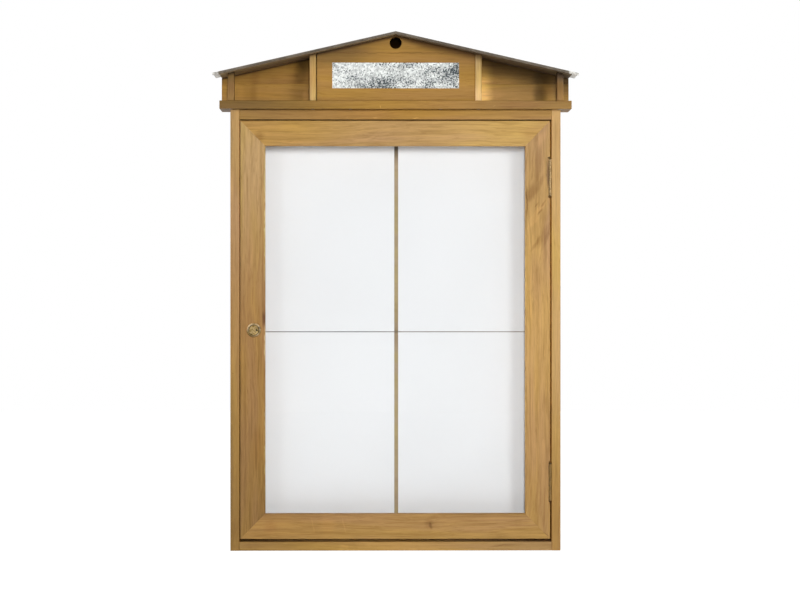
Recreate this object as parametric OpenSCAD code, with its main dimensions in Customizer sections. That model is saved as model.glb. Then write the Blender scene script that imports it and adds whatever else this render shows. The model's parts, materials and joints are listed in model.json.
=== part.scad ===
// Wall-hung information display case: a shallow hardwood case with a glazed door,
// a ledge, a gabled head with a name board, and a low roof faced with metal sheet.
// The origin lies on the wall plane, half way across the case and half way up it.
// X runs to the right, Y into the wall and Z up, so the door faces -Y.

/* [Sheets] */
// Width of one sheet
sheet_w = 210; // [190:1:300]
// Height of one sheet
sheet_h = 297; // [260:1:420]
// Thickness of one sheet of card
sheet_t = 1; // [0.5:0.1:2]
// Gap between the left and right sheets
sheet_gap_x = 6; // [2:0.5:12]
// Gap between the upper and lower sheets
sheet_gap_z = 1.2; // [0.5:0.1:12]
// Room between the sheets and the side boards, on either side
sheet_room_x = 29; // [24:0.5:60]
// Room between the sheets and the top and bottom boards, at either end
sheet_room_z = 29.65; // [24:0.05:60]
// How far the sheets lie to the right of the middle
sheets_x = 1.4; // [-3:0.1:3]
// How far the sheets lie above the middle
sheets_z = -3.2; // [-5:0.1:5]

/* [Case] */
// Depth from the wall to the front edges of the boards
case_d = 56; // [52:1:90]
// Thickness of the side boards and the bottom board
board_t = 14; // [12:0.5:18]
// Thickness of the top board
top_board_t = 15.5; // [12:0.5:20]
// Thickness of the back panel
back_t = 6; // [4:0.5:8]
// How far the back panel reaches into each board
back_rebate = 7; // [5:0.5:9]
// Small chamfer along the front edges of the boards
arris = 0.8; // [0.3:0.1:1.5]

/* [Door] */
// Thickness of the door
door_t = 20; // [18:0.5:22]
// Width of the upright stiles
stile_w = 38.8; // [36:0.1:50]
// Width of the rails
rail_w = 39.4; // [34:0.1:50]
// Gap beside the lock stile
gap_lock = 1.3; // [1:0.1:2.5]
// Gap beside the hinge stile, which is also the room for the hinge leaves
gap_hinge = 2.25; // [2.2:0.05:2.6]
// Gap over the door
gap_top = 1.7; // [1:0.1:3]
// Gap under the door
gap_bottom = 4.3; // [2:0.1:6]
// Chamfer round the window, on the front
window_chamfer = 2; // [1:0.1:3]
// Wood left in front of the pane
lip_t = 8; // [6:0.5:9]
// Width of the rebate that the pane sits in
glass_rebate = 7; // [5:0.5:8]
// Thickness of the pane
glass_t = 3; // [2:0.5:4]
// Free space between the edge of the pane and its rebate
glass_gap = 1; // [0.5:0.1:2]
// How far the glazing beads stand back from the window's edge
bead_step = 0.5; // [0:0.1:2]
// Chamfer along the beads
bead_chamfer = 1.5; // [0.5:0.1:3]

/* [Hinges] */
// Length of each hinge
hinge_l = 57.5; // [50:0.5:62]
// Distance of each hinge's middle from the door's nearer end
hinge_inset = 88; // [60:1:140]
// Width of a leaf, from the pin
leaf_w = 17; // [15:0.5:17.5]
// Thickness of a leaf
leaf_t = 1.2; // [0.9:0.05:1.3]
// Radius of the hinge pin
hinge_pin_r = 1; // [0.8:0.05:1.2]
// Free length at each end of the recess that the hinge lies in
mortise_end = 2.75; // [2:0.05:4]
// Gap between neighbouring knuckles
knuckle_gap = 0.3; // [0.2:0.05:0.6]

/* [Lock] */
// Distance of the lock's middle from the edge of its stile
lock_inset = 21; // [20:0.5:21.5]
// Radius of the flange
lock_flange_r = 11.1; // [10:0.1:12]
// Radius of the barrel through the stile
lock_barrel_r = 8.5; // [8:0.1:8.8]
// Radius of the plug's face
plug_face_r = 7.9; // [7.5:0.1:8]
// Radius of the plug's shaft
plug_r = 6; // [5:0.1:6.4]
// How far the flange stands in front of the door
flange_h = 2.1; // [1.8:0.1:3]
// Distance from the plug's axis to the tip of the cam
cam_reach = 20; // [17:0.5:20.5]
// Width of the cam
cam_w = 12; // [10:0.5:14]
// Thickness of the cam
cam_t = 1.6; // [1.2:0.1:2]
// Thickness of the lock nut
nut_t = 2.2; // [2:0.1:3]
// Width of the lock nut across its flats
nut_af = 20; // [19:0.5:21]
// Length of the keep up the side board
keep_l = 28; // [24:1:40]
// How far the keep stands out from the side board
keep_w = 8.5; // [6:0.5:9]
// Thickness of the keep's metal
keep_t = 1.2; // [1:0.1:1.5]

/* [Door stops] */
// Thickness of the door stops, out from the side board
stop_w = 10; // [6:0.5:11]
// Depth of the door stops
stop_d = 10; // [6:0.5:14]
// Clear height above and below the lock
stop_lock_gap = 60; // [40:1:120]
// Clear height between a stop and the top or bottom board
stop_end_gap = 40; // [10:1:120]

/* [Wall fixing] */
// Diameter of the wall screw holes
wall_hole_d = 5.5; // [4:0.5:6]
// Distance of the holes from the side boards' inner faces
wall_hole_x = 17; // [15:0.5:20]
// Distance of the holes from the ends of the case
wall_hole_z = 72; // [60:1:200]

/* [Ledge] */
// Thickness of the ledge
ledge_t = 12.7; // [10:0.1:18]
// How far the ledge stands out in front
ledge_front = 17; // [14:0.5:30]
// How far the ledge stands out at each side
ledge_side = 16; // [10:0.5:30]

/* [Gable] */
// Height of the gable back at its ends, above the ledge
gable_end_h = 39.4; // [36:0.1:60]
// Height of the lower plank of the gable back
lower_plank_h = 31; // [20:0.5:34]
// Thickness of the lower plank
lower_plank_t = 11; // [8:0.5:14]
// Thickness of the upper plank
upper_plank_t = 10; // [8:0.5:14]
// Width of a post, seen from the front
post_w = 10; // [8:0.5:14]
// Depth of a post
post_d = 20; // [14:0.5:28]
// Distance of an inner post from the middle
inner_post_x = 128; // [118:0.5:140]
// Distance of an outer post from the ledge's end
outer_post_x = 17.5; // [12:0.5:30]
// How far the posts stand behind the ledge's front edge
post_back = 3; // [1:0.5:5]
// How far the name board stands behind the posts' faces
name_back = 3; // [1:0.5:6]
// Thickness of the name board
name_t = 10; // [8:0.5:12]
// Open joint at the left end of the name board
name_gap = 1.5; // [0.3:0.1:3]
// Width of the bare metal plate
plate_w = 196; // [120:1:210]
// Height of the bare metal plate
plate_h = 39.5; // [20:0.5:46]
// Thickness of the bare metal plate
plate_t = 0.8; // [0.5:0.1:1.5]
// Height of the plate's lower edge above the ledge
plate_z = 19.3; // [12:0.1:24]
// Distance of the plate's pins from its edges
plate_pin_inset = 6; // [4:0.5:10]
// Diameter of the round hole under the ridge
ridge_hole_d = 18.5; // [12:0.5:19]
// Wood left between the hole and the roof
ridge_hole_wood = 2.3; // [1.5:0.1:5]

/* [Roof] */
// Pitch of the two slopes in degrees
pitch = 12.84; // [10:0.01:18]
// How far the roof stands out in front of the case
roof_front = 32; // [28:0.5:50]
// How far each eave stands out past the ledge
eave = 9.7; // [6:0.1:30]
// Thickness of the metal sheet
roof_sheet_t = 0.8; // [0.6:0.1:1.5]
// Thickness of the underlay boards
underlay_t = 3.2; // [3:0.1:9]
// Bare strip of sheet at each eave, past the underlay
eave_bare = 10; // [5:0.5:12]
// Depth of the sheet's turned-down front edge
front_lip = 3; // [1.5:0.1:4]

/* [Fasteners] */
// Length of the screws through the case's sides
case_screw_l = 38; // [30:1:50]
// Distance of the front screws from the case's front
case_screw_front = 13; // [8:0.5:16]
// Distance of the rear screws from the wall
case_screw_back = 17; // [13:0.5:22]
// Length of the screws through the top board into the ledge
ledge_screw_l = 25; // [20:1:26]
// Distance between neighbouring ledge screws
ledge_screw_step = 120; // [80:1:140]
// Length of the screws up through the ledge
gable_screw_l = 26; // [20:1:32]
// Distance of the name board's screws from the middle
name_screw_x = 70; // [40:1:100]
// How far the gable's screws stand in front of the case
gable_screw_front = 5.5; // [4:0.5:7]
// Length of the back panel's nails
panel_nail_l = 20; // [15:1:25]
// Distance of the end nails up each side from the case's ends
panel_nail_end = 40; // [30:1:60]
// Distance of the end nails along the top and bottom from the side boards
panel_nail_side = 50; // [30:1:80]
// Length of the roof nails
roof_nail_l = 16; // [12:1:20]
// Distance of the first roof nails from the ridge
roof_nail_ridge = 45; // [20:1:60]
// Distance of the last roof nails from the ledge's end
roof_nail_end = 22; // [15:1:40]
// Length of the hinge screws
hinge_screw_l = 11; // [9:0.5:12]
// Length of the keep's screws
keep_screw_l = 11; // [9:0.5:12]
// Length of the bead pins
bead_pin_l = 13; // [10:0.5:16]
// Distance of the end pins from the window's corners
bead_pin_end = 45; // [20:1:80]
// Length of the plate's pins
plate_pin_l = 8; // [5:0.5:9]
// Room round each screw, nail and pin in its hole
fastener_play = 0.05; // [0.02:0.01:0.1]

/* [Hidden] */
$fn = 64;

WOOD = [0.72, 0.55, 0.33];
PALE_WOOD = [0.80, 0.64, 0.42];
PLY = [0.70, 0.60, 0.45];
BRASS = [0.78, 0.62, 0.30];
ZINC = [0.66, 0.69, 0.70];
GLASS = [0.82, 0.90, 0.88, 0.35];
CARD = [0.95, 0.95, 0.95];
CUT = 1; // how far a cutting shape runs past the piece it cuts

// The case is made to measure round its four sheets
case_w = 2 * (sheet_w + sheet_room_x + board_t) + sheet_gap_x;
case_h = 2 * (sheet_h + sheet_room_z) + sheet_gap_z + board_t + top_board_t;

// Edges of the case and of its inside
inner_x = case_w / 2 - board_t;
case_top = case_h / 2;
case_bottom = -case_h / 2;
inner_top = case_top - top_board_t;
inner_bottom = case_bottom + board_t;
front_y = -case_d;

// Edges of the door and of its window, each as left, right, bottom and top
door_left = -inner_x + gap_lock;
door_right = inner_x - gap_hinge;
door_bottom = inner_bottom + gap_bottom;
door_top = inner_top - gap_top;
door = [door_left, door_right, door_bottom, door_top];
window = [door_left + stile_w, door_right - stile_w, door_bottom + rail_w, door_top - rail_w];
pane_seat = [window[0] - glass_rebate, window[1] + glass_rebate,
             window[2] - glass_rebate, window[3] + glass_rebate];
bead_front = lip_t + glass_t;
bead_w = glass_rebate - bead_step;

// Hinges: the pins' axis lies on the door's front face, at its right edge
hinge_zs = [door_bottom + hinge_inset, door_top - hinge_inset];
hinge_x = door_right;
knuckles = 5;
knuckle_l = hinge_l / knuckles;
knuckle_clear = 0.3; // between a knuckle and the wood or leaf beside it
barrel_r = gap_hinge - knuckle_clear;
mortise_l = hinge_l + 2 * mortise_end;
pin_play = 0.05; // running clearance round the hinge pin
pin_head_r = 1.6;
pin_head_h = 0.6;
hinge_screw_y = 10; // from the pin's axis
hinge_screw_step = 20;

// Lock: depths are measured from the door's front face
lock_x = door_left + lock_inset;
lock_z = 0;
plug_play = 0.05; // running clearance round the plug's shaft
face_play = 0.15; // round the plug's face
plug_seat = 0.4; // depth of the flange left under the plug's face
plug_face_play = 0.1; // between the plug's face and its seat in the flange
plug_sink = 0.7; // of the plug's face behind the flange's rim
plug_edge = 0.4; // chamfer round the plug's face
rim_w = 1.1; // flat top of the flange's raised rim
rim_fall = 0.4; // from the rim down to the plug
flange_edge = 0.4; // height of the flange's outer edge
barrel_over = 0.4; // how far the barrel stands past its nut
barrel_end = door_t + nut_t + barrel_over;
cam_play = 0.4; // between the barrel's end and the cam
cam_front = barrel_end + cam_play;
cam_corner = 3;
cam_square = 5;
cam_screw_r = 1.5;
cam_screw_l = 7;
cam_screw_head_r = 4;
cam_screw_head_h = 1.8;
keyhole_x = 4.65; // from the plug's axis
keyhole_w = 2.2;
keyhole_h = 3;
keyhole_d = 6;
keep_front = door_t + 0.6; // depth of the keep's front face
keep_leg = 17;
keep_screw_y = 11.5; // behind the keep's front face
keep_screw_step = 16;
stop_clear = 0.3; // between the closed door and its stops

// Ledge, gable and roof
ledge_top = case_top + ledge_t;
ledge_x = case_w / 2 + ledge_side;
ledge_y = front_y - ledge_front;
post_y = ledge_y + post_back;
outer_post_mid = ledge_x - outer_post_x;
name_y = post_y + name_back;
name_left = -(inner_post_x - post_w / 2) + name_gap;
name_right = inner_post_x - post_w / 2;
ridge_under = ledge_top + gable_end_h + ledge_x * tan(pitch);
underlay_rise = underlay_t / cos(pitch);
sheet_rise = roof_sheet_t / cos(pitch);
roof_x = ledge_x + eave;
roof_y = front_y - roof_front;
underlay_x = roof_x - eave_bare;
underlay_play = 0.2; // between the underlay and the sheet's turned-down edge
ridge_top = ridge_under + underlay_rise + sheet_rise;
ridge_hole_z = ridge_under - (ridge_hole_d / 2 + ridge_hole_wood) / cos(pitch);

// Screws and nails
case_screw_ys = [front_y + case_screw_front, -case_screw_back];
case_screw_zs = [case_bottom + board_t / 2, case_top - top_board_t / 2];
gable_screw_y = front_y - gable_screw_front;

// Radius of each screw's head and of its shank
CASE_SCREW_R = [4, 2];
LEDGE_SCREW_R = [3.5, 1.8];
GABLE_SCREW_R = [3, 1.6];
FITTING_SCREW_R = [2.3, 1.2];

// Radius of each nail's or pin's head, the head's height, and the radius of the shank
PANEL_NAIL = [2.2, 0.7, 0.9];
BEAD_PIN = [0.9, 0.5, 0.6];
ROOF_NAIL = [3.6, 1.3, 1.1];
PLATE_PIN = [1.7, 0.9, 0.7];
POINT_R = 0.2; // of the blunt end that a screw or a nail is ground to

function roof_under(x) = ridge_under - abs(x) * tan(pitch);
function roof_top(x) = ridge_top - abs(x) * tan(pitch);
function spaced(half, count) = [for (i = [0:count - 1]) -half + 2 * half * i / (count - 1)];

// Placing

// Lays a bar that was drawn upright along one edge of the door or of the pane's seat.
// In the drawing X runs from the outer edge inwards and Y from the front to the back.
module along_left(ring) translate([ring[0], front_y, ring[2]]) children();
module along_right(ring) translate([ring[1], front_y, ring[2]]) mirror([1, 0, 0]) children();
module along_top(ring) translate([ring[0], front_y, ring[3]]) rotate([0, 90, 0]) children();
module along_bottom(ring) {
    translate([ring[0], front_y, ring[2]]) mirror([0, 0, 1]) rotate([0, 90, 0]) children();
}

// Raises an outline drawn in X and Z into a plate between two depths
module plate_xz(y_front, y_back) {
    translate([0, y_back, 0]) rotate([90, 0, 0]) linear_extrude(y_back - y_front) children();
}

// Draws an outline in Y and Z out into a board between two places in X
module board_yz(x_from, x_to) {
    translate([x_from, 0, 0]) rotate([90, 0, 90]) linear_extrude(x_to - x_from) children();
}

module at_hinge(z) translate([hinge_x, front_y, z]) children();

// Turns the lock's own axis, which is drawn as Z, to point into the case
module at_lock() translate([lock_x, front_y, lock_z]) rotate([-90, 0, 0]) children();

module case_screw_places() {
    for (side = [-1, 1], y = case_screw_ys, z = case_screw_zs)
        translate([side * case_w / 2, y, z]) rotate([0, side * 90, 0]) children();
}

module ledge_screw_places() {
    for (i = [-1.5:1:1.5])
        translate([i * ledge_screw_step, front_y / 2, inner_top]) rotate([180, 0, 0]) children();
}

module gable_screw_places() {
    for (side = [-1, 1], x = [name_screw_x, inner_post_x, outer_post_mid])
        translate([side * x, gable_screw_y, case_top]) rotate([180, 0, 0]) children();
}

module panel_nail_places() {
    side_x = inner_x + back_rebate / 2;
    for (side = [-1, 1], z = spaced(case_h / 2 - panel_nail_end, 6))
        translate([side * side_x, 0, z]) rotate([-90, 0, 0]) children();
    for (z = [inner_bottom - back_rebate / 2, inner_top + back_rebate / 2])
        for (x = spaced(inner_x - panel_nail_side, 4)) translate([x, 0, z]) rotate([-90, 0, 0]) children();
}

module on_slope(x, y) {
    translate([x, y, roof_top(x)]) rotate([0, sign(x) * pitch, 0]) children();
}

// The nails lean with the slope, so each starts a little outwards of the wood's middle
module roof_nail_places() {
    lean = roof_nail_l * sin(pitch) / 2;
    last = ledge_x - roof_nail_end;
    for (side = [-1, 1], x = [roof_nail_ridge, (roof_nail_ridge + last) / 2, last])
        on_slope(side * (x + lean), -upper_plank_t / 2) children();
    for (side = [-1, 1]) on_slope(side * (roof_nail_ridge + lean), name_y + name_t / 2) children();
    for (side = [-1, 1], x = [inner_post_x, outer_post_mid])
        on_slope(side * (x + lean), post_y + post_d / 2) children();
}

module bead_pin_places() {
    pin_y = front_y + (bead_front + door_t) / 2;
    middle_x = (window[0] + window[1]) / 2;
    middle_z = (window[2] + window[3]) / 2;
    half_w = (window[1] - window[0]) / 2;
    half_h = (window[3] - window[2]) / 2;
    for (z = spaced(half_h - bead_pin_end, 4)) {
        translate([pane_seat[0] + bead_w, pin_y, middle_z + z]) rotate([0, 90, 0]) children();
        translate([pane_seat[1] - bead_w, pin_y, middle_z + z]) rotate([0, -90, 0]) children();
    }
    for (x = spaced(half_w - bead_pin_end, 3)) {
        translate([middle_x + x, pin_y, pane_seat[2] + bead_w]) children();
        translate([middle_x + x, pin_y, pane_seat[3] - bead_w]) rotate([180, 0, 0]) children();
    }
}

module hinge_screw_places(side) {
    for (z = hinge_zs, step = [-1, 0, 1])
        at_hinge(z) translate([side * (gap_hinge - leaf_t), hinge_screw_y, step * hinge_screw_step])
            rotate([0, -side * 90, 0]) children();
}

module keep_screw_places() {
    screw_y = front_y + keep_front + keep_screw_y;
    for (side = [-1, 1])
        translate([-inner_x + keep_t, screw_y, lock_z + side * keep_screw_step / 2])
            rotate([0, 90, 0]) children();
}

module plate_pin_places() {
    for (x = [-1, 1], z = [0, 1])
        translate([x * (plate_w / 2 - plate_pin_inset), name_y - plate_t,
                   ledge_top + plate_z + (z == 0 ? plate_pin_inset : plate_h - plate_pin_inset)])
            rotate([90, 0, 0]) children();
}

// Fasteners, drawn with the head's top at Z = 0 and the point downwards

module screw_outline(radii, length, play) {
    head_r = radii[0] + play;
    shank_r = radii[1] + play;
    above = play * 8;
    polygon([[0, above], [head_r, above], [head_r, 0], [shank_r, shank_r - head_r],
             [shank_r, -length + 2 * radii[1]], [POINT_R, -length - play], [0, -length - play]]);
}

module wood_screw(radii, length) {
    head_r = radii[0];
    slot_w = head_r * 0.28;
    slot_d = head_r * 0.22;
    difference() {
        rotate_extrude() screw_outline(radii, length, 0);
        translate([-head_r - CUT, -slot_w / 2, -slot_d]) cube([2 * (head_r + CUT), slot_w, slot_d + CUT]);
    }
}

module screw_hole(radii, length) {
    rotate_extrude() screw_outline(radii, length, fastener_play);
}

module flat_nail(form, length, play) {
    head_r = form[0] + play;
    under_head = -form[1] - play;
    shank_r = form[2] + play;
    above = play * 8;
    rotate_extrude()
        polygon([[0, above], [head_r, above], [head_r, under_head], [shank_r, under_head],
                 [shank_r, -length + 2 * form[2]], [POINT_R, -length - play], [0, -length - play]]);
}

module case_screw() wood_screw(CASE_SCREW_R, case_screw_l);
module case_screw_hole() screw_hole(CASE_SCREW_R, case_screw_l);
module ledge_screw() wood_screw(LEDGE_SCREW_R, ledge_screw_l);
module ledge_screw_hole() screw_hole(LEDGE_SCREW_R, ledge_screw_l);
module gable_screw() wood_screw(GABLE_SCREW_R, gable_screw_l);
module gable_screw_hole() screw_hole(GABLE_SCREW_R, gable_screw_l);
module hinge_screw() wood_screw(FITTING_SCREW_R, hinge_screw_l);
module hinge_screw_hole() screw_hole(FITTING_SCREW_R, hinge_screw_l);
module keep_screw() wood_screw(FITTING_SCREW_R, keep_screw_l);
module keep_screw_hole() screw_hole(FITTING_SCREW_R, keep_screw_l);
module panel_nail(play) flat_nail(PANEL_NAIL, panel_nail_l, play);
module bead_pin(play) flat_nail(BEAD_PIN, bead_pin_l, play);

// A round-headed pin or nail whose head stays above the surface
module domed_nail(form, length) {
    dome = [for (a = [0:15:90]) [form[0] * cos(a), form[1] * sin(a)]];
    shank_r = form[2];
    shank = [[0, -length], [POINT_R, -length], [shank_r, -length + 2 * shank_r], [shank_r, 0]];
    rotate_extrude() polygon(concat(shank, dome));
}

module domed_nail_hole(form, length) {
    depth = length + fastener_play;
    translate([0, 0, -depth]) cylinder(r = form[2] + fastener_play, h = depth + CUT);
}

module roof_nail() domed_nail(ROOF_NAIL, roof_nail_l);
module roof_nail_hole() domed_nail_hole(ROOF_NAIL, roof_nail_l);
module plate_pin() domed_nail(PLATE_PIN, plate_pin_l);
module plate_pin_hole() domed_nail_hole(PLATE_PIN, plate_pin_l);

// Case

// Plan of a side board, with its outer face on X = 0 and the board towards +X
module side_plan() {
    polygon([[arris, front_y], [board_t - arris, front_y], [board_t, front_y + arris],
             [board_t, 0], [0, 0], [0, front_y + arris]]);
}

// The space of the back panel, cut into the boards round it as a stopped rebate
module panel_space(behind) {
    half_w = inner_x + back_rebate;
    translate([-half_w, -back_t, inner_bottom - back_rebate])
        cube([2 * half_w, back_t + behind, inner_top - inner_bottom + 2 * back_rebate]);
}

module side_board() {
    difference() {
        translate([-case_w / 2, 0, case_bottom]) linear_extrude(case_h) side_plan();
        panel_space(CUT);
    }
}

module side_left() {
    color(WOOD) difference() {
        side_board();
        case_screw_places() case_screw_hole();
        panel_nail_places() panel_nail(fastener_play);
        keep_screw_places() keep_screw_hole();
    }
}

module side_right() {
    color(WOOD) difference() {
        mirror([1, 0, 0]) side_board();
        case_screw_places() case_screw_hole();
        panel_nail_places() panel_nail(fastener_play);
        hinge_screw_places(1) hinge_screw_hole();
    }
}

// Section of the top or bottom board, with its outer face at z_out and its inner face at z_in
module end_section(z_out, z_in) {
    dir = sign(z_in - z_out);
    z_rebate = z_in - dir * back_rebate;
    polygon([[front_y + arris, z_out], [0, z_out], [0, z_rebate], [-back_t, z_rebate],
             [-back_t, z_in], [front_y + arris, z_in], [front_y, z_in - dir * arris],
             [front_y, z_out + dir * arris]]);
}

module top_board() {
    color(WOOD) difference() {
        board_yz(-inner_x, inner_x) end_section(case_top, inner_top);
        case_screw_places() case_screw_hole();
        panel_nail_places() panel_nail(fastener_play);
        ledge_screw_places() ledge_screw_hole();
    }
}

module bottom_board() {
    color(WOOD) difference() {
        board_yz(-inner_x, inner_x) end_section(case_bottom, inner_bottom);
        case_screw_places() case_screw_hole();
        panel_nail_places() panel_nail(fastener_play);
    }
}

module wall_hole_places() {
    for (x = [-1, 1], z = [-1, 1])
        translate([x * (inner_x - wall_hole_x), 0, z * (case_h / 2 - wall_hole_z)]) children();
}

module back_panel() {
    color(PLY) difference() {
        panel_space(0);
        wall_hole_places() rotate([90, 0, 0]) translate([0, 0, -CUT])
            cylinder(d = wall_hole_d, h = back_t + 2 * CUT);
        panel_nail_places() panel_nail(fastener_play);
    }
}

module door_stop(z_from, z_to) {
    color(PALE_WOOD) translate([-inner_x, front_y + door_t + stop_clear, z_from])
        linear_extrude(z_to - z_from)
            polygon([[0, 0], [stop_w, 0], [stop_w, stop_d - arris], [stop_w - arris, stop_d], [0, stop_d]]);
}

module door_stop_upper() door_stop(lock_z + stop_lock_gap, inner_top - stop_end_gap);
module door_stop_lower() door_stop(inner_bottom + stop_end_gap, lock_z - stop_lock_gap);

module case_screws() color(BRASS) case_screw_places() case_screw();
module back_panel_nails() color(ZINC) panel_nail_places() panel_nail(0);

// Sheets of card on the back panel

module display_sheet(column, row) {
    x = sheets_x + (column < 0 ? -sheet_gap_x / 2 - sheet_w : sheet_gap_x / 2);
    z = sheets_z + (row < 0 ? -sheet_gap_z / 2 - sheet_h : sheet_gap_z / 2);
    color(CARD) translate([x, -back_t - sheet_t, z]) cube([sheet_w, sheet_t, sheet_h]);
}

module sheet_top_left() display_sheet(-1, 1);
module sheet_top_right() display_sheet(1, 1);
module sheet_bottom_left() display_sheet(-1, -1);
module sheet_bottom_right() display_sheet(1, -1);

// Ledge

module ledge() {
    color(WOOD) difference() {
        board_yz(-ledge_x, ledge_x)
            polygon([[ledge_y + arris, case_top], [0, case_top], [0, ledge_top],
                     [ledge_y + arris, ledge_top], [ledge_y, ledge_top - arris],
                     [ledge_y, case_top + arris]]);
        ledge_screw_places() ledge_screw_hole();
        gable_screw_places() gable_screw_hole();
    }
}

module ledge_screws() color(ZINC) ledge_screw_places() ledge_screw();
module gable_screws() color(ZINC) gable_screw_places() gable_screw();

// Gable

module gable_back_lower() {
    z_seam = ledge_top + lower_plank_h;
    color(WOOD) board_yz(-ledge_x, ledge_x)
        polygon([[0, ledge_top], [0, z_seam], [-lower_plank_t + arris, z_seam],
                 [-lower_plank_t, z_seam - arris], [-lower_plank_t, ledge_top]]);
}

module gable_back_upper() {
    z_seam = ledge_top + lower_plank_h;
    color(WOOD) difference() {
        plate_xz(-upper_plank_t, 0)
            polygon([[-ledge_x, z_seam], [ledge_x, z_seam], [ledge_x, roof_under(ledge_x)],
                     [0, ridge_under], [-ledge_x, roof_under(ledge_x)]]);
        roof_nail_places() roof_nail_hole();
    }
}

// A post's plan, with small chamfers up its two front edges
module post_plan(mid) {
    x0 = mid - post_w / 2;
    x1 = mid + post_w / 2;
    polygon([[x0 + arris, post_y], [x1 - arris, post_y], [x1, post_y + arris], [x1, post_y + post_d],
             [x0, post_y + post_d], [x0, post_y + arris]]);
}

module post(mid, tone) {
    x0 = mid - post_w / 2;
    x1 = mid + post_w / 2;
    color(tone) difference() {
        intersection() {
            translate([0, 0, ledge_top]) linear_extrude(ridge_top - ledge_top) post_plan(mid);
            plate_xz(post_y - CUT, post_y + post_d + CUT)
                polygon([[x0 - CUT, ledge_top], [x1 + CUT, ledge_top], [x1 + CUT, roof_under(x1 + CUT)],
                         [x0 - CUT, roof_under(x0 - CUT)]]);
        }
        roof_nail_places() roof_nail_hole();
        gable_screw_places() gable_screw_hole();
    }
}

module post_outer_left() post(-outer_post_mid, WOOD);
module post_inner_left() post(-inner_post_x, PALE_WOOD);
module post_inner_right() post(inner_post_x, PALE_WOOD);
module post_outer_right() post(outer_post_mid, WOOD);

module name_board() {
    color(WOOD) difference() {
        plate_xz(name_y, name_y + name_t)
            polygon([[name_left, ledge_top], [name_right, ledge_top], [name_right, roof_under(name_right)],
                     [0, ridge_under], [name_left, roof_under(name_left)]]);
        translate([0, name_y - CUT, ridge_hole_z]) rotate([-90, 0, 0])
            cylinder(d = ridge_hole_d, h = name_t + 2 * CUT);
        plate_pin_places() plate_pin_hole();
        roof_nail_places() roof_nail_hole();
        gable_screw_places() gable_screw_hole();
    }
}

module name_plate() {
    color(ZINC) difference() {
        translate([-plate_w / 2, name_y - plate_t, ledge_top + plate_z]) cube([plate_w, plate_t, plate_h]);
        plate_pin_places() plate_pin_hole();
    }
}

module plate_pins() color(ZINC) plate_pin_places() plate_pin();

// Roof

module roof_board(side) {
    x = side * underlay_x;
    z = roof_under(underlay_x);
    color(PLY) difference() {
        plate_xz(roof_y + roof_sheet_t + underlay_play, 0)
            polygon([[0, ridge_under], [x, z], [x, z + underlay_rise], [0, ridge_under + underlay_rise]]);
        roof_nail_places() roof_nail_hole();
    }
}

module roof_board_left() roof_board(-1);
module roof_board_right() roof_board(1);

// Outline of the bent sheet, seen from the front, with a given height down each slope's edge
module bent_outline(rise) {
    polygon([[-roof_x, roof_top(roof_x)], [0, ridge_top], [roof_x, roof_top(roof_x)],
             [roof_x, roof_top(roof_x) - rise], [0, ridge_top - rise], [-roof_x, roof_top(roof_x) - rise]]);
}

module roof_sheet() {
    color(ZINC) difference() {
        union() {
            plate_xz(roof_y, 0) bent_outline(sheet_rise);
            plate_xz(roof_y, roof_y + roof_sheet_t) bent_outline(sheet_rise + front_lip);
        }
        roof_nail_places() roof_nail_hole();
    }
}

module roof_nails() color(ZINC) roof_nail_places() roof_nail();

// Door

// Section of a stile or rail: outer edge on X = 0, front face on Y = 0
module frame_section(w) {
    polygon([[arris, 0], [w - window_chamfer, 0], [w, window_chamfer], [w, lip_t],
             [w - glass_rebate, lip_t], [w - glass_rebate, door_t], [0, door_t], [0, arris]]);
}

module bead_section() {
    polygon([[0, bead_front], [bead_w, bead_front], [bead_w, door_t - bead_chamfer],
             [bead_w - bead_chamfer, door_t], [0, door_t]]);
}

// An upright bar with both ends mitred: each mitre runs rise up over run across
module mitred(length, run, rise) {
    intersection() {
        linear_extrude(length) children();
        translate([0, door_t + CUT, 0]) rotate([90, 0, 0]) linear_extrude(door_t + 2 * CUT)
            polygon([[0, 0], [run, rise], [run, length - rise], [0, length]]);
    }
}

module stile() mitred(door_top - door_bottom, stile_w, rail_w) frame_section(stile_w);
module rail() mitred(door_right - door_left, rail_w, stile_w) frame_section(rail_w);

module door_stile_left() {
    color(WOOD) difference() {
        along_left(door) stile();
        at_lock() translate([0, 0, -CUT]) cylinder(r = lock_barrel_r + fastener_play, h = door_t + 2 * CUT);
        bead_pin_places() bead_pin(fastener_play);
    }
}

module door_stile_right() {
    color(WOOD) difference() {
        along_right(door) stile();
        for (z = hinge_zs)
            at_hinge(z) translate([-gap_hinge, -CUT, -mortise_l / 2])
                cube([gap_hinge + CUT, leaf_w + knuckle_clear + CUT, mortise_l]);
        hinge_screw_places(-1) hinge_screw_hole();
        bead_pin_places() bead_pin(fastener_play);
    }
}

module door_rail_top() {
    color(WOOD) difference() {
        along_top(door) rail();
        bead_pin_places() bead_pin(fastener_play);
    }
}

module door_rail_bottom() {
    color(WOOD) difference() {
        along_bottom(door) rail();
        bead_pin_places() bead_pin(fastener_play);
    }
}

module door_glass() {
    left = pane_seat[0] + glass_gap;
    bottom = pane_seat[2] + glass_gap;
    color(GLASS) translate([left, front_y + lip_t, bottom])
        cube([pane_seat[1] - glass_gap - left, glass_t, pane_seat[3] - glass_gap - bottom]);
}

module bead_upright() mitred(pane_seat[3] - pane_seat[2], bead_w, bead_w) bead_section();
module bead_level() mitred(pane_seat[1] - pane_seat[0], bead_w, bead_w) bead_section();

module pinned_bead() {
    color(PALE_WOOD) difference() {
        children();
        bead_pin_places() bead_pin(fastener_play);
    }
}

module bead_left() pinned_bead() along_left(pane_seat) bead_upright();
module bead_right() pinned_bead() along_right(pane_seat) bead_upright();
module bead_top() pinned_bead() along_top(pane_seat) bead_level();
module bead_bottom() pinned_bead() along_bottom(pane_seat) bead_level();
module bead_pins() color(ZINC) bead_pin_places() bead_pin(0);

// Hinges

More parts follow.
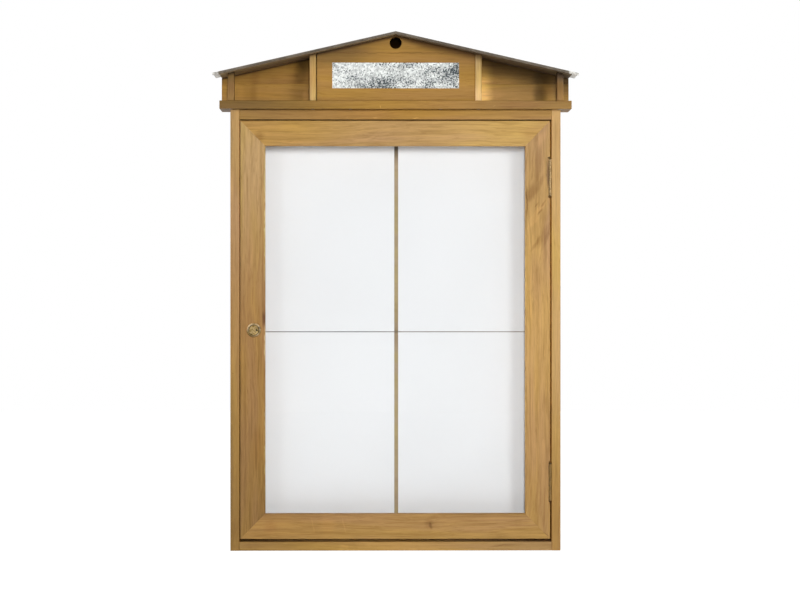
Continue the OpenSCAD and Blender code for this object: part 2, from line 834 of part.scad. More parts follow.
// One leaf, drawn on the +X side of the pin, with the knuckles of one parity
module hinge_leaf(parity) {
    leaf_x = gap_hinge - leaf_t;
    difference() {
        union() {
            linear_extrude(hinge_l) difference() {
                translate([leaf_x, 0]) square([leaf_t, leaf_w]);
                circle(r = barrel_r + knuckle_clear);
            }
            for (i = [parity:2:knuckles - 1])
                translate([0, 0, i * knuckle_l + knuckle_gap / 2]) linear_extrude(knuckle_l - knuckle_gap) {
                    circle(r = barrel_r);
                    translate([leaf_x, 0]) square([leaf_t, leaf_w / 2]);
                }
        }
        translate([0, 0, -CUT]) cylinder(r = hinge_pin_r + pin_play, h = hinge_l + 2 * CUT);
    }
}

module case_leaf(z) {
    color(BRASS) difference() {
        at_hinge(z - hinge_l / 2) hinge_leaf(0);
        hinge_screw_places(1) hinge_screw_hole();
    }
}

module door_leaf(z) {
    color(BRASS) difference() {
        at_hinge(z - hinge_l / 2) mirror([1, 0, 0]) hinge_leaf(1);
        hinge_screw_places(-1) hinge_screw_hole();
    }
}

// The pin's small heads rest on the ends of the barrel
module hinge_pin(z) {
    half = hinge_l / 2 - knuckle_gap / 2;
    color(BRASS) at_hinge(z) rotate_extrude()
        polygon([[0, -half - pin_head_h], [pin_head_r - 0.4, -half - pin_head_h], [pin_head_r, -half - 0.2],
                 [pin_head_r, -half], [hinge_pin_r, -half], [hinge_pin_r, half], [pin_head_r, half],
                 [pin_head_r, half + 0.2], [pin_head_r - 0.4, half + pin_head_h], [0, half + pin_head_h]]);
}

module hinge_leaf_case_upper() case_leaf(hinge_zs[1]);
module hinge_leaf_case_lower() case_leaf(hinge_zs[0]);
module hinge_leaf_door_upper() door_leaf(hinge_zs[1]);
module hinge_leaf_door_lower() door_leaf(hinge_zs[0]);
module hinge_pin_upper() hinge_pin(hinge_zs[1]);
module hinge_pin_lower() hinge_pin(hinge_zs[0]);
module hinge_screws_case() color(BRASS) hinge_screw_places(1) hinge_screw();
module hinge_screws_door() color(BRASS) hinge_screw_places(-1) hinge_screw();

// Lock: outlines in radius and depth behind the door's front face

module lock_body() {
    face_r = plug_face_r + face_play;
    bore_r = plug_r + plug_play;
    rim_mid = (face_r + lock_flange_r) / 2;
    color(BRASS) at_lock() rotate_extrude()
        polygon([[bore_r, -plug_seat], [face_r, -plug_seat], [face_r, -flange_h + rim_fall],
                 [rim_mid - rim_w * 0.64, -flange_h], [rim_mid + rim_w * 0.36, -flange_h],
                 [lock_flange_r - flange_edge * 0.75, -flange_edge * 2.25],
                 [lock_flange_r, -flange_edge], [lock_flange_r, 0],
                 [lock_barrel_r, 0], [lock_barrel_r, barrel_end], [bore_r, barrel_end]]);
}

module lock_nut() {
    color(BRASS) at_lock() translate([0, 0, door_t]) difference() {
        rotate([0, 0, 30]) cylinder(d = nut_af / cos(30), h = nut_t, $fn = 6);
        translate([0, 0, -CUT]) cylinder(r = lock_barrel_r + fastener_play, h = nut_t + 2 * CUT);
    }
}

module lock_plug() {
    face_top = -flange_h + plug_sink;
    face_under = -plug_seat - plug_face_play;
    square_from = cam_front - CUT;
    square_to = cam_front + cam_t;
    screw_depth = cam_screw_l + CUT;
    color(BRASS) at_lock() difference() {
        union() {
            rotate_extrude()
                polygon([[0, face_top], [plug_face_r - plug_edge, face_top],
                         [plug_face_r, face_top + plug_edge], [plug_face_r, face_under],
                         [plug_r, face_under], [plug_r, cam_front], [0, cam_front]]);
            translate([-cam_square / 2, -cam_square / 2, square_from])
                cube([cam_square, cam_square, square_to - square_from]);
        }
        translate([keyhole_x, 0, face_top - CUT]) keyhole();
        translate([0, 0, square_to - screw_depth])
            cylinder(r = cam_screw_r + fastener_play, h = screw_depth + CUT);
    }
}

// A slot with round ends
module keyhole() {
    half_step = (keyhole_h - keyhole_w) / 2;
    depth = keyhole_d + CUT;
    translate([-keyhole_w / 2, -half_step, 0]) cube([keyhole_w, 2 * half_step, depth]);
    for (side = [-1, 1]) translate([0, side * half_step, 0]) cylinder(d = keyhole_w, h = depth);
}

module lock_cam() {
    color(ZINC) at_lock() translate([0, 0, cam_front]) linear_extrude(cam_t) difference() {
        union() {
            circle(r = cam_w / 2 + 1);
            translate([-cam_w / 2, -cam_reach + cam_corner]) square([cam_w, cam_reach - cam_corner]);
            translate([-cam_w / 2 + cam_corner, -cam_reach]) square([cam_w - 2 * cam_corner, cam_corner]);
            for (side = [-1, 1])
                translate([side * (cam_w / 2 - cam_corner), -cam_reach + cam_corner])
                    circle(r = cam_corner);
        }
        square(cam_square + 2 * fastener_play, center = true);
    }
}

module cam_screw() {
    color(ZINC) at_lock() translate([0, 0, cam_front + cam_t]) difference() {
        union() {
            cylinder(r1 = cam_screw_head_r, r2 = cam_screw_head_r - 0.8, h = cam_screw_head_h);
            translate([0, 0, -cam_screw_l]) cylinder(r = cam_screw_r, h = cam_screw_l + CUT);
        }
        translate([-0.5, -cam_screw_head_r - CUT, 1]) cube([1, 2 * (cam_screw_head_r + CUT), 2]);
    }
}

module lock_keep() {
    color(BRASS) difference() {
        translate([-inner_x, front_y + keep_front, lock_z - keep_l / 2]) linear_extrude(keep_l) {
            square([keep_w, keep_t]);
            square([keep_t, keep_leg]);
        }
        keep_screw_places() keep_screw_hole();
    }
}

module keep_screws() color(BRASS) keep_screw_places() keep_screw();

side_left();
side_right();
top_board();
bottom_board();
back_panel();
door_stop_upper();
door_stop_lower();
ledge();
gable_back_lower();
gable_back_upper();
post_outer_left();
post_inner_left();
post_inner_right();
post_outer_right();
name_board();
name_plate();
plate_pins();
roof_board_left();
roof_board_right();
roof_sheet();
roof_nails();
sheet_top_left();
sheet_top_right();
sheet_bottom_left();
sheet_bottom_right();
case_screws();
back_panel_nails();
ledge_screws();
gable_screws();
hinge_leaf_case_upper();
hinge_leaf_case_lower();
hinge_pin_upper();
hinge_pin_lower();
hinge_screws_case();
lock_keep();
keep_screws();
door_stile_left();
door_stile_right();
door_rail_top();
door_rail_bottom();
door_glass();
bead_left();
bead_right();
bead_top();
bead_bottom();
bead_pins();
hinge_leaf_door_upper();
hinge_leaf_door_lower();
hinge_screws_door();
lock_body();
lock_nut();
lock_plug();
lock_cam();
cam_screw();
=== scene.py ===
# %% [markdown]
# # Finishing a wall-hung display case
#
# The object is a shallow hardwood case with a glazed door, four white sheets behind the pane, and a
# little gabled head with a bare metal plate under a thin metal roof. Its solids arrive as a fixed
# frame in metres: X runs to the right, Y into the wall and Z up, with the door facing -Y.
#
# This lesson gives the case its finish. Each piece is a copy of its solid with the sharp edges rounded
# over, because a real arris is sanded or filed and catches light. The slope round the lock's flange is
# also laid over, to catch light from the sides. The materials are procedural: timber, galvanised
# steel, brass, plywood, card and glass.

# %% Load the frame
import json
import math

import bmesh
import bpy
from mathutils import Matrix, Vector

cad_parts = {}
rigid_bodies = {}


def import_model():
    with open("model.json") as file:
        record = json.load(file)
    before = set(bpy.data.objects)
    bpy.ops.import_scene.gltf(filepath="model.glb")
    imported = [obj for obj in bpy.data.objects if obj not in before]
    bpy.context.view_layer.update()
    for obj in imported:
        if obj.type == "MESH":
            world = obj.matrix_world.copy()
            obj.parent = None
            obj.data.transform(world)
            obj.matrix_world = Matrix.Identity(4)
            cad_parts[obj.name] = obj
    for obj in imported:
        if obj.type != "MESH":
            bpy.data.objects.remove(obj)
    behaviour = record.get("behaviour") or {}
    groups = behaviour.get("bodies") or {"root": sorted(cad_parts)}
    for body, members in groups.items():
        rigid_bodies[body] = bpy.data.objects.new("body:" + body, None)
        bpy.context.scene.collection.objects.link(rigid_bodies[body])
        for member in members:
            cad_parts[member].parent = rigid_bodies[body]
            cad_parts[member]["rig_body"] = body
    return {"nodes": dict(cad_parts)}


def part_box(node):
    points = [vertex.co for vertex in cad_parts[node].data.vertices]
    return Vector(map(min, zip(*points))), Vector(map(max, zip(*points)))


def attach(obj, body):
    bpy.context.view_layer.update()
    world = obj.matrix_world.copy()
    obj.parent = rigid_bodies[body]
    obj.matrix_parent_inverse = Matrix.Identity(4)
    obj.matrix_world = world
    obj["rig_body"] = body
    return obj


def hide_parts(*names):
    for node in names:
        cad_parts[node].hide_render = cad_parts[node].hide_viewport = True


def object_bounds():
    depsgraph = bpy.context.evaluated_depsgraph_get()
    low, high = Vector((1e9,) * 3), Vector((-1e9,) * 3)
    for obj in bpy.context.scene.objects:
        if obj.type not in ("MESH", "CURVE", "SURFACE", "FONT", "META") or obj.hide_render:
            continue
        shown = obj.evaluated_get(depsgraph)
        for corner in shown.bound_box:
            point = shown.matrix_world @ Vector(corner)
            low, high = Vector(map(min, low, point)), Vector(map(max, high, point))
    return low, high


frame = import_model()
NODES = frame["nodes"]
CAD_LOW, CAD_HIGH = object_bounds()
MM = 0.001
FRONT_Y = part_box("side_left")[0].y
scene = bpy.context.scene
print(f"{len(NODES)} solids, {(CAD_HIGH - CAD_LOW) / MM} mm over all")

# %% [markdown]
# ## The camera
#
# A product photographer stands well back and uses a long lens, so that the case's upright edges stay
# parallel. The camera here stands 3.9 m in front of the case with a lens of about 113 mm. It is a
# little to the left of the middle and turned back by about half a degree.

# %% Camera
PHOTO_WIDTH = 800  # pixels
PHOTO_CENTRE_X = 400  # pixels
STRAIGHT_AHEAD_X = 373  # the pixel column that lies straight in front of the camera
FOCAL_PIXELS = 2515.5
SENSOR_WIDTH = 36.0  # mm
STAND_OFF = 3.9
EYE = Vector((-35 * MM, FRONT_Y - STAND_OFF, 46.7 * MM))

camera_data = bpy.data.cameras.new("photo_camera")
camera_data.sensor_width = SENSOR_WIDTH
camera_data.lens = FOCAL_PIXELS / PHOTO_WIDTH * SENSOR_WIDTH
camera_data.clip_start = 0.1
camera_data.clip_end = 100
camera = bpy.data.objects.new("photo_camera", camera_data)
camera.location = EYE
turn = math.atan((PHOTO_CENTRE_X - STRAIGHT_AHEAD_X) / FOCAL_PIXELS)
camera.rotation_euler = (math.radians(90), 0, -turn)
scene.collection.objects.link(camera)
scene.camera = camera
scene.view_settings.view_transform = "Standard"
print(f"lens {camera_data.lens:.1f} mm, turned {math.degrees(turn):.2f} degrees")

# %% [markdown]
# ## Softboxes
#
# The case is lit as flat artwork is: a lamp on each side, about 30 degrees round, and a tall one near
# the camera. The stiles of the door then throw a band of shade on either edge of the white sheets,
# and the posts of the gable throw theirs on its back. Two more lamps stand just behind the plane of
# the front, one at each side. They light the case's sides and leave its front alone. Two weak lamps
# behind serve the rear views.
#
# A softbox is an area lamp. Its strength is written as the share of full brightness that it gives a
# white surface facing it. The shares of the front three and the world's add up to about 0.9, and
# light from the floor makes up some of the rest, so a colour renders about as it is written. Only
# the first two show in gloss: the pane would mirror the tall one, and the others would put sparks
# on the brass.

# %% Softboxes
MIDDLE = (CAD_LOW + CAD_HIGH) / 2


def softbox(name, azimuth, elevation, distance, width, height, share, in_gloss=True):
    """An area lamp aimed at the case. Azimuth 0 is in front of it and 90 at its right."""
    lamp = bpy.data.lights.new(name, "AREA")
    lamp.shape = "RECTANGLE"
    lamp.size = width
    lamp.size_y = height
    lamp.energy = share * math.pi**2 * distance**2
    a = math.radians(azimuth)
    e = math.radians(elevation)
    towards_lamp = Vector((math.sin(a) * math.cos(e), -math.cos(a) * math.cos(e), math.sin(e)))
    lit = bpy.data.objects.new(name, lamp)
    lit.location = MIDDLE + towards_lamp * distance
    lit.rotation_euler = towards_lamp.to_track_quat("Z", "Y").to_euler()
    lit.visible_camera = False
    lit.visible_glossy = in_gloss
    lit.visible_transmission = in_gloss
    scene.collection.objects.link(lit)


softbox("key_right", azimuth=26, elevation=10, distance=3.4, width=0.75, height=0.75, share=0.215)
softbox("fill_left", azimuth=-32, elevation=10, distance=3.4, width=0.3, height=0.75, share=0.065)
softbox(
    "front", azimuth=1, elevation=8.5, distance=4.4, width=0.3, height=1.0, share=0.52,
    in_gloss=False,
)
for sign, side, side_share in ((1, "right", 0.45), (-1, "left", 0.40)):
    softbox(
        f"side_{side}", azimuth=sign * 99, elevation=40, distance=3.0, width=0.8, height=1.6,
        share=side_share, in_gloss=False,
    )
    softbox(
        f"behind_{side}", azimuth=sign * 145, elevation=30, distance=3.2, width=1.5, height=1.5,
        share=0.3, in_gloss=False,
    )


# %% [markdown]
# ## A short way to write node graphs
#
# A material is a graph of nodes. Written out link by link it is hard to read, so this helper adds a
# node, feeds its inputs with plain values or with other nodes' sockets, and hands back the socket
# that carries the result. A graph then reads as a sum does.

# %% Graph helper
class Graph:
    """Adds nodes to a tree. Each method returns the socket that carries its result."""

    def __init__(self, tree):
        self.tree = tree

    def node(self, kind, **settings):
        made = self.tree.nodes.new(kind)
        for name, value in settings.items():
            setattr(made, name, value)
        return made

    def feed(self, socket, value):
        if isinstance(value, bpy.types.NodeSocket):
            self.tree.links.new(value, socket)
        else:
            socket.default_value = value

    def math(self, operation, a, b=0.0):
        made = self.node("ShaderNodeMath", operation=operation)
        self.feed(made.inputs[0], a)
        self.feed(made.inputs[1], b)
        return made.outputs[0]

    def vector(self, operation, a, b=(0, 0, 0)):
        made = self.node("ShaderNodeVectorMath", operation=operation)
        self.feed(made.inputs[0], a)
        self.feed(made.inputs[1], b)
        return made.outputs["Value" if operation in ("LENGTH", "DOT_PRODUCT") else "Vector"]

    def split(self, vector):
        made = self.node("ShaderNodeSeparateXYZ")
        self.feed(made.inputs[0], vector)
        return made.outputs

    def join(self, x, y, z):
        made = self.node("ShaderNodeCombineXYZ")
        for socket, value in zip(made.inputs, (x, y, z)):
            self.feed(socket, value)
        return made.outputs[0]

    def noise(self, vector, per_metre, detail=2.0, roughness=0.5):
        """Smooth noise from 0 to 1, with so many features to the metre along each axis."""
        made = self.node("ShaderNodeTexNoise")
        self.feed(made.inputs["Vector"], self.vector("MULTIPLY", vector, per_metre))
        made.inputs["Scale"].default_value = 1.0
        made.inputs["Detail"].default_value = detail
        made.inputs["Roughness"].default_value = roughness
        return made.outputs[0]

    def bands(self, distance, detail=1.5):
        """Noise along one number, for rings of uneven width."""
        made = self.node("ShaderNodeTexNoise", noise_dimensions="1D")
        self.feed(made.inputs["W"], distance)
        made.inputs["Scale"].default_value = 1.0
        made.inputs["Detail"].default_value = detail
        return made.outputs[0]

    def steps(self, value, low, high, to_low=0.0, to_high=1.0):
        """An eased ramp of value, from to_low at low to to_high at high."""
        made = self.node("ShaderNodeMapRange", interpolation_type="SMOOTHSTEP")
        for name, number in (("Value", value), ("From Min", low), ("From Max", high),
                             ("To Min", to_low), ("To Max", to_high)):
            self.feed(made.inputs[name], number)
        return made.outputs[0]

    def mix(self, share, a, b, blend="MIX"):
        """Colour a moved towards b by a share."""
        made = self.node("ShaderNodeMix", data_type="RGBA", blend_type=blend)
        self.feed(made.inputs[0], share)  # 6 and 7 are the inputs for colours, and 2 is their output
        self.feed(made.inputs[6], a)
        self.feed(made.inputs[7], b)
        return made.outputs[2]

    def tinted(self, colour, tint):
        """A colour multiplied by a tint."""
        return self.mix(1.0, colour, tint, "MULTIPLY")

    def choose(self, share, a, b):
        """Number a moved towards number b by a share."""
        made = self.node("ShaderNodeMix", data_type="FLOAT")
        self.feed(made.inputs[0], share)  # 2 and 3 are the inputs for numbers
        self.feed(made.inputs[2], a)
        self.feed(made.inputs[3], b)
        return made.outputs[0]

    def coordinates(self, kind="Object"):
        """Texture coordinates of a kind, which are metres along the piece's own axes for Object."""
        return self.node("ShaderNodeTexCoord").outputs[kind]

    def group(self, tree, **values):
        made = self.node("ShaderNodeGroup", node_tree=tree)
        for name, value in values.items():
            self.feed(made.inputs[name.replace("_", " ")], value)
        return made.outputs


def srgb(red, green, blue):
    """The linear colour of an sRGB colour that is written from 0 to 255."""
    linear = []
    for channel in (red / 255, green / 255, blue / 255):
        linear.append(channel / 12.92 if channel <= 0.04045 else ((channel + 0.055) / 1.055) ** 2.4)
    return (*linear, 1.0)


def grey(level):
    """A linear grey."""
    return (level, level, level, 1.0)


COLOUR = "NodeSocketColor"
NUMBER = "NodeSocketFloat"
VECTOR = "NodeSocketVector"


def new_group(name, inputs, outputs):
    """An empty shader node group, its graph helper, its input sockets and its output node."""
    tree = bpy.data.node_groups.new(name, "ShaderNodeTree")
    for socket_name, kind, default in inputs:
        socket = tree.interface.new_socket(socket_name, in_out="INPUT", socket_type=kind)
        if default is not None:
            socket.default_value = default
    for socket_name, kind in outputs:
        tree.interface.new_socket(socket_name, in_out="OUTPUT", socket_type=kind)
    graph = Graph(tree)
    return tree, graph, graph.node("NodeGroupInput").outputs, graph.node("NodeGroupOutput").inputs


def new_material(name):
    """A material with its Principled shader, and a helper for its graph."""
    material = bpy.data.materials.new(name)
    material.use_nodes = True
    return material, Graph(material.node_tree), material.node_tree.nodes["Principled BSDF"]


print("graph helper ready")

# %% [markdown]
# ## World and floor
#
# The studio is white behind the case and dim behind the camera, which is why brass and zinc look
# darker in the middle than at their rims. A bright band overhead, which fades before the very top,
# puts the arcs on the lock's rim. Light Path tells the rays apart: the camera, gloss and glass see
# that room, and soft light comes evenly from a weaker world. So the backdrop is white without more
# light on the object. The floor lies well below the case, as it does under a wall case. It is white
# to the camera and darker in gloss, where it would wash out the brass.

# %% World and floor
FLOOR_DROP = 0.45
FLOOR_SIZE = 30
WORLD_SHARE = 0.08
DIM_ROOM = 0.30
FLOOR_GREY = 0.82
FLOOR_IN_GLOSS = 0.35
FLOOR_TO_CAMERA = 0.92


def seen_directly(graph):
    """1 for rays that show the room itself: in gloss or through glass, and from the camera."""
    path = graph.node("ShaderNodeLightPath").outputs
    mirrored = graph.math("MAXIMUM", path["Is Glossy Ray"], path["Is Transmission Ray"])
    return mirrored, path["Is Camera Ray"]


world = bpy.data.worlds.new("studio")
world.use_nodes = True
scene.world = world
sky = Graph(world.node_tree)
mirrored, viewed = seen_directly(sky)
towards = sky.split(sky.coordinates("Generated"))
room = sky.steps(towards["Y"], -0.1, 0.3, DIM_ROOM, 1.0)
overhead = sky.steps(towards["Z"], 0.15, 0.40)
straight_up = sky.steps(towards["Z"], 0.90, 0.99, 0.0, 0.7)
room = sky.math("MAXIMUM", room, sky.math("SUBTRACT", overhead, straight_up))
strength = sky.choose(mirrored, WORLD_SHARE, room)
strength = sky.choose(viewed, strength, 1.0)
background = world.node_tree.nodes["Background"]
background.inputs["Color"].default_value = grey(1.0)
sky.feed(background.inputs["Strength"], strength)

floor_white, floor_graph, floor_shader = new_material("floor_white")
floor_shader.inputs["Roughness"].default_value = 0.9
floor_shader.inputs["Emission Color"].default_value = grey(1.0)
mirrored, viewed = seen_directly(floor_graph)
towards_wall = floor_graph.split(floor_graph.coordinates())["Y"]
room = floor_graph.steps(towards_wall, 0.0, 3.0, 0.1, 0.8)
tone = floor_graph.mix(mirrored, grey(FLOOR_GREY), grey(FLOOR_IN_GLOSS))
floor_graph.feed(floor_shader.inputs["Base Color"], tone)
glow = floor_graph.choose(mirrored, 0.0, room)
glow = floor_graph.choose(viewed, glow, FLOOR_TO_CAMERA)
floor_graph.feed(floor_shader.inputs["Emission Strength"], glow)

bm = bmesh.new()
bmesh.ops.create_grid(bm, x_segments=2, y_segments=2, size=FLOOR_SIZE / 2)
bmesh.ops.translate(bm, vec=(0, 0, CAD_LOW.z - FLOOR_DROP), verts=bm.verts)
floor_mesh = bpy.data.meshes.new("floor")
bm.to_mesh(floor_mesh)
bm.free()
floor_mesh.materials.append(floor_white)
floor = bpy.data.objects.new("floor", floor_mesh)
scene.collection.objects.link(floor)
print(f"floor {FLOOR_DROP} m under the case")

# %% [markdown]
# ## Timber
#
# A board is a slice of a log, so its grain is a solid pattern and not a picture laid on the face.
# The group below measures how far each point lies from the pith of the log, and draws rings of
# uneven width with it. Long thin noise adds the streaks between the rings, short dark dashes are the
# pores, and slow noise shifts the hue from golden to rosy. Because all of it is solid, a board's
# edges and ends show the same rings that its face does. Board space has X along the grain, and each
# material puts its board there with a Mapping node.

# %% Timber group
SLOW_SWAY = 0.030  # how far the rings wander over a board's length, in metres
QUICK_SWAY = 0.006

timber, g, given, result = new_group(
    "timber",
    inputs=[
        ("Vector", VECTOR, None),
        ("Base", COLOUR, srgb(184, 146, 90)),
        ("Dark Tint", COLOUR, (0.66, 0.60, 0.50, 1)),
        ("Light Tint", COLOUR, (1.20, 1.20, 1.16, 1)),
        ("Seed", NUMBER, 0.0),
        ("Pith Y", NUMBER, 0.05),
        ("Pith Z", NUMBER, 0.08),
        ("Ring Width", NUMBER, 0.0055),
        ("Contrast", NUMBER, 1.0),
    ],
    outputs=[("Color", COLOUR), ("Roughness", NUMBER), ("Height", NUMBER)],
)
shift = g.join(given["Seed"], g.math("MULTIPLY", given["Seed"], 1.7), 0.0)
place = g.vector("ADD", given["Vector"], shift)
slow_sway = g.math("SUBTRACT", g.noise(place, (2.5, 12, 12), detail=1.0), 0.5)
quick_sway = g.math("SUBTRACT", g.noise(place, (11, 30, 30), detail=1.0), 0.5)
slow_sway = g.math("MULTIPLY", slow_sway, SLOW_SWAY)
sway = g.math("ADD", slow_sway, g.math("MULTIPLY", quick_sway, QUICK_SWAY))
x, y, z = g.split(given["Vector"])
pith_y = g.math("ADD", y, given["Pith Y"])
pith_z = g.math("ADD", z, given["Pith Z"])
from_pith = g.vector("LENGTH", g.join(0.0, pith_y, pith_z))
ring_place = g.math("DIVIDE", g.math("ADD", from_pith, sway), given["Ring Width"])
ring = g.bands(g.math("ADD", ring_place, given["Seed"]))
swayed = g.vector("ADD", place, g.join(0.0, sway, sway))
streak = g.noise(swayed, (9, 300, 300), detail=3.0, roughness=0.6)
fibre = g.noise(swayed, (26, 620, 620), detail=3.0, roughness=0.65)
pore = g.steps(g.noise(swayed, (70, 1150, 1150), detail=0.0), 0.66, 0.80)
patch = g.noise(place, (6, 30, 30), detail=2.0)
hue = g.noise(swayed, (5, 45, 45), detail=1.0)

golden = g.tinted(given["Base"], (1.03, 1.00, 0.82, 1))
rosy = g.tinted(given["Base"], (1.00, 0.95, 1.04, 1))
body = g.mix(g.steps(hue, 0.35, 0.65), golden, rosy)
dark = g.tinted(body, given["Dark Tint"])
light = g.tinted(body, given["Light Tint"])
tone = body
for noise, start, full, most, aim in (
    (ring, 0.42, 0.66, 0.30, dark),
    (streak, 0.50, 0.70, 0.75, light),
    (streak, 0.50, 0.30, 0.75, dark),
    (fibre, 0.52, 0.70, 0.70, light),
    (fibre, 0.48, 0.30, 0.70, dark),
):
    share = g.math("MULTIPLY", g.steps(noise, start, full, 0.0, most), given["Contrast"])
    tone = g.mix(share, tone, aim)
for start, full, aim in ((0.60, 0.80, light), (0.40, 0.20, dark)):
    tone = g.mix(g.steps(patch, start, full, 0.0, 0.35), tone, aim)
tone = g.mix(g.math("MULTIPLY", pore, 0.30), tone, dark)
g.feed(result["Color"], tone)
ring_gloss = g.steps(ring, 0.3, 0.7, 0.48, 0.58)
g.feed(result["Roughness"], g.math("ADD", ring_gloss, g.math("MULTIPLY", pore, 0.15)))
raised = g.math("SUBTRACT", g.math("MULTIPLY", fibre, 0.5), g.math("MULTIPLY", pore, 0.8))
g.feed(result["Height"], g.math("ADD", raised, g.math("MULTIPLY", ring, 0.3)))
print("timber group has", len(timber.nodes), "nodes")

# %% [markdown]
# ## Worn edges, painted highlight and painted corner shade
#
# Oil and hands wear edges paler and smoother. The paler edge is partly that wear and partly painted
# highlight, the light that a rounded arris catches. The corners where two pieces meet are painted
# darker, which is painted shade. Both could be drawn on, but two nodes find the places by themselves.
# The Bevel node gives the normal that a rounded edge would have, so its difference from the true
# normal marks the edges. The Ambient Occlusion node marks the corners for the painted shade.

# %% Edge group
wear_and_painted_shade, g, given, result = new_group(
    "edge_wear_highlight_and_corner_shade",
    inputs=[
        ("Color", COLOUR, grey(0.5)),
        ("Edge Width", NUMBER, 0.0012),
        ("Rubbed", NUMBER, 0.35),
        ("Corner Width", NUMBER, 0.010),
        ("Corner Dark", NUMBER, 0.45),
    ],
    outputs=[("Color", COLOUR), ("Edge", NUMBER)],
)
rounded = g.node("ShaderNodeBevel", samples=4)
g.feed(rounded.inputs["Radius"], given["Edge Width"])
flat = g.node("ShaderNodeNewGeometry").outputs["True Normal"]
edge = g.steps(g.vector("DOT_PRODUCT", rounded.outputs[0], flat), 0.995, 0.88)
# AO darkens the corners where pieces meet: this is painted shade.
occlusion = g.node("ShaderNodeAmbientOcclusion", samples=4)
g.feed(occlusion.inputs["Distance"], given["Corner Width"])
corner = g.math("MULTIPLY", g.steps(occlusion.outputs["AO"], 0.85, 0.25), given["Corner Dark"])
# The paler edge is partly wear and partly painted highlight.
paler = g.tinted(given["Color"], (1.35, 1.40, 1.50, 1))
tone = g.mix(g.math("MULTIPLY", edge, given["Rubbed"]), given["Color"], paler)
tone = g.mix(corner, tone, g.tinted(tone, (0.42, 0.34, 0.26, 1)))
g.feed(result["Color"], tone)
g.feed(result["Edge"], edge)
print("edge group has", len(wear_and_painted_shade.nodes), "nodes")

# %% [markdown]
# ## Painted shade under the roof
#
# The roof's overhang shades the gable more than the scene's lamps show, so the wood just under the
# eaves is painted dark and fades to its own tone further down: this is painted shade. A narrow strip
# right under the roof is painted darker still, as painted contact shadow. A dark strip on each board
# would break at the joints. So the group measures how far a point lies below the roof's two slopes,
# which is the same on every board. The painted shade reaches further down on the right half than on
# the left.

# %% Painted roof shade group
UNDER_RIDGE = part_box("name_board")[1].z
PITCH = math.radians(12.84)
# Tints of the painted roof shade and of the painted contact shadow right under the roof.
ROOF_PAINTED_SHADE = (0.27, 0.25, 0.22, 1)
CONTACT_PAINTED_SHADE = (0.30, 0.25, 0.18, 1)

painted_roof_shade, g, given, result = new_group(
    "painted_shade_under_roof",
    inputs=[
        ("Color", COLOUR, grey(0.5)),
        ("Left Reach", NUMBER, 0.012),
        ("Right Reach", NUMBER, 0.054),
        ("Full Until", NUMBER, 0.25),
        ("Dirt", NUMBER, 0.0),
    ],
    outputs=[("Color", COLOUR)],
)
x, y, z = g.split(g.coordinates())
fall = g.math("MULTIPLY", g.math("ABSOLUTE", x), math.tan(PITCH))
slope_z = g.math("SUBTRACT", UNDER_RIDGE, fall)
below = g.math("SUBTRACT", slope_z, z)
on_right = g.steps(x, -0.16, 0.16)
reach = g.choose(on_right, given["Left Reach"], given["Right Reach"])
# Painted shade under the roof.
roof_shaded = g.tinted(given["Color"], ROOF_PAINTED_SHADE)
depth = g.math("DIVIDE", below, reach)
tone = g.mix(g.steps(depth, 1.0, given["Full Until"]), given["Color"], roof_shaded)
# A narrow strip right under the roof is painted darker: painted contact shadow.
contact_shade_reach = g.choose(g.steps(x, -0.02, 0.06), 0.0065, 0.015)
contact_shade = g.steps(g.math("DIVIDE", below, contact_shade_reach), 1.0, 0.1)
contact_shaded = g.tinted(tone, CONTACT_PAINTED_SHADE)
g.feed(result["Color"], g.mix(g.math("MULTIPLY", contact_shade, given["Dirt"]), tone, contact_shaded))
print("shelter group has", len(painted_roof_shade.nodes), "nodes")

# %% [markdown]
# ## Knots, stains, nicks, and painted light and shade
#
# Every board also has marks that no pattern gives: a knot, a stain beside the window, a nick where a
# ladder touched the ledge. Many marks are painted light and shade instead: the posts' shadows and the
# pools of light beside them on the gable's back, shade behind the hole under the ridge and round the
# hinges, and highlights on the window's chamfers. Each one here is a soft spot with its place on the
# door's plane, its half width and half height, its lean, and a tint that the timber is multiplied by.
# Slow noise bends the spots so that none is a plain oval. They fade within 5 mm of the front, so a
# board's back is clean.
# The faces in the gap round the door are painted paler, as painted light in that narrow gap, and
# browner and weaker towards the foot.

# %% Board material
GRAIN_TURN = {"X": (0, 0, 0), "Z": (0, math.radians(-90), 0)}  # board X onto the grain's axis


def put_in_space(graph, node, turn_to=(0, 0, 0)):
    """Object coordinates moved so that the solid's middle is at the origin, and turned."""
    low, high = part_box(node)
    mapping = graph.node("ShaderNodeMapping", vector_type="TEXTURE")
    mapping.inputs["Location"].default_value = (low + high) / 2
    mapping.inputs["Rotation"].default_value = turn_to
    graph.feed(mapping.inputs["Vector"], graph.coordinates())
    return mapping.outputs[0], high - low


def fades_between(graph, near, far):
    """1 in front of the depth near, and 0 behind the depth far."""
    depth = graph.split(graph.coordinates())["Y"]
    return graph.steps(depth, near, far, 1.0, 0.0)


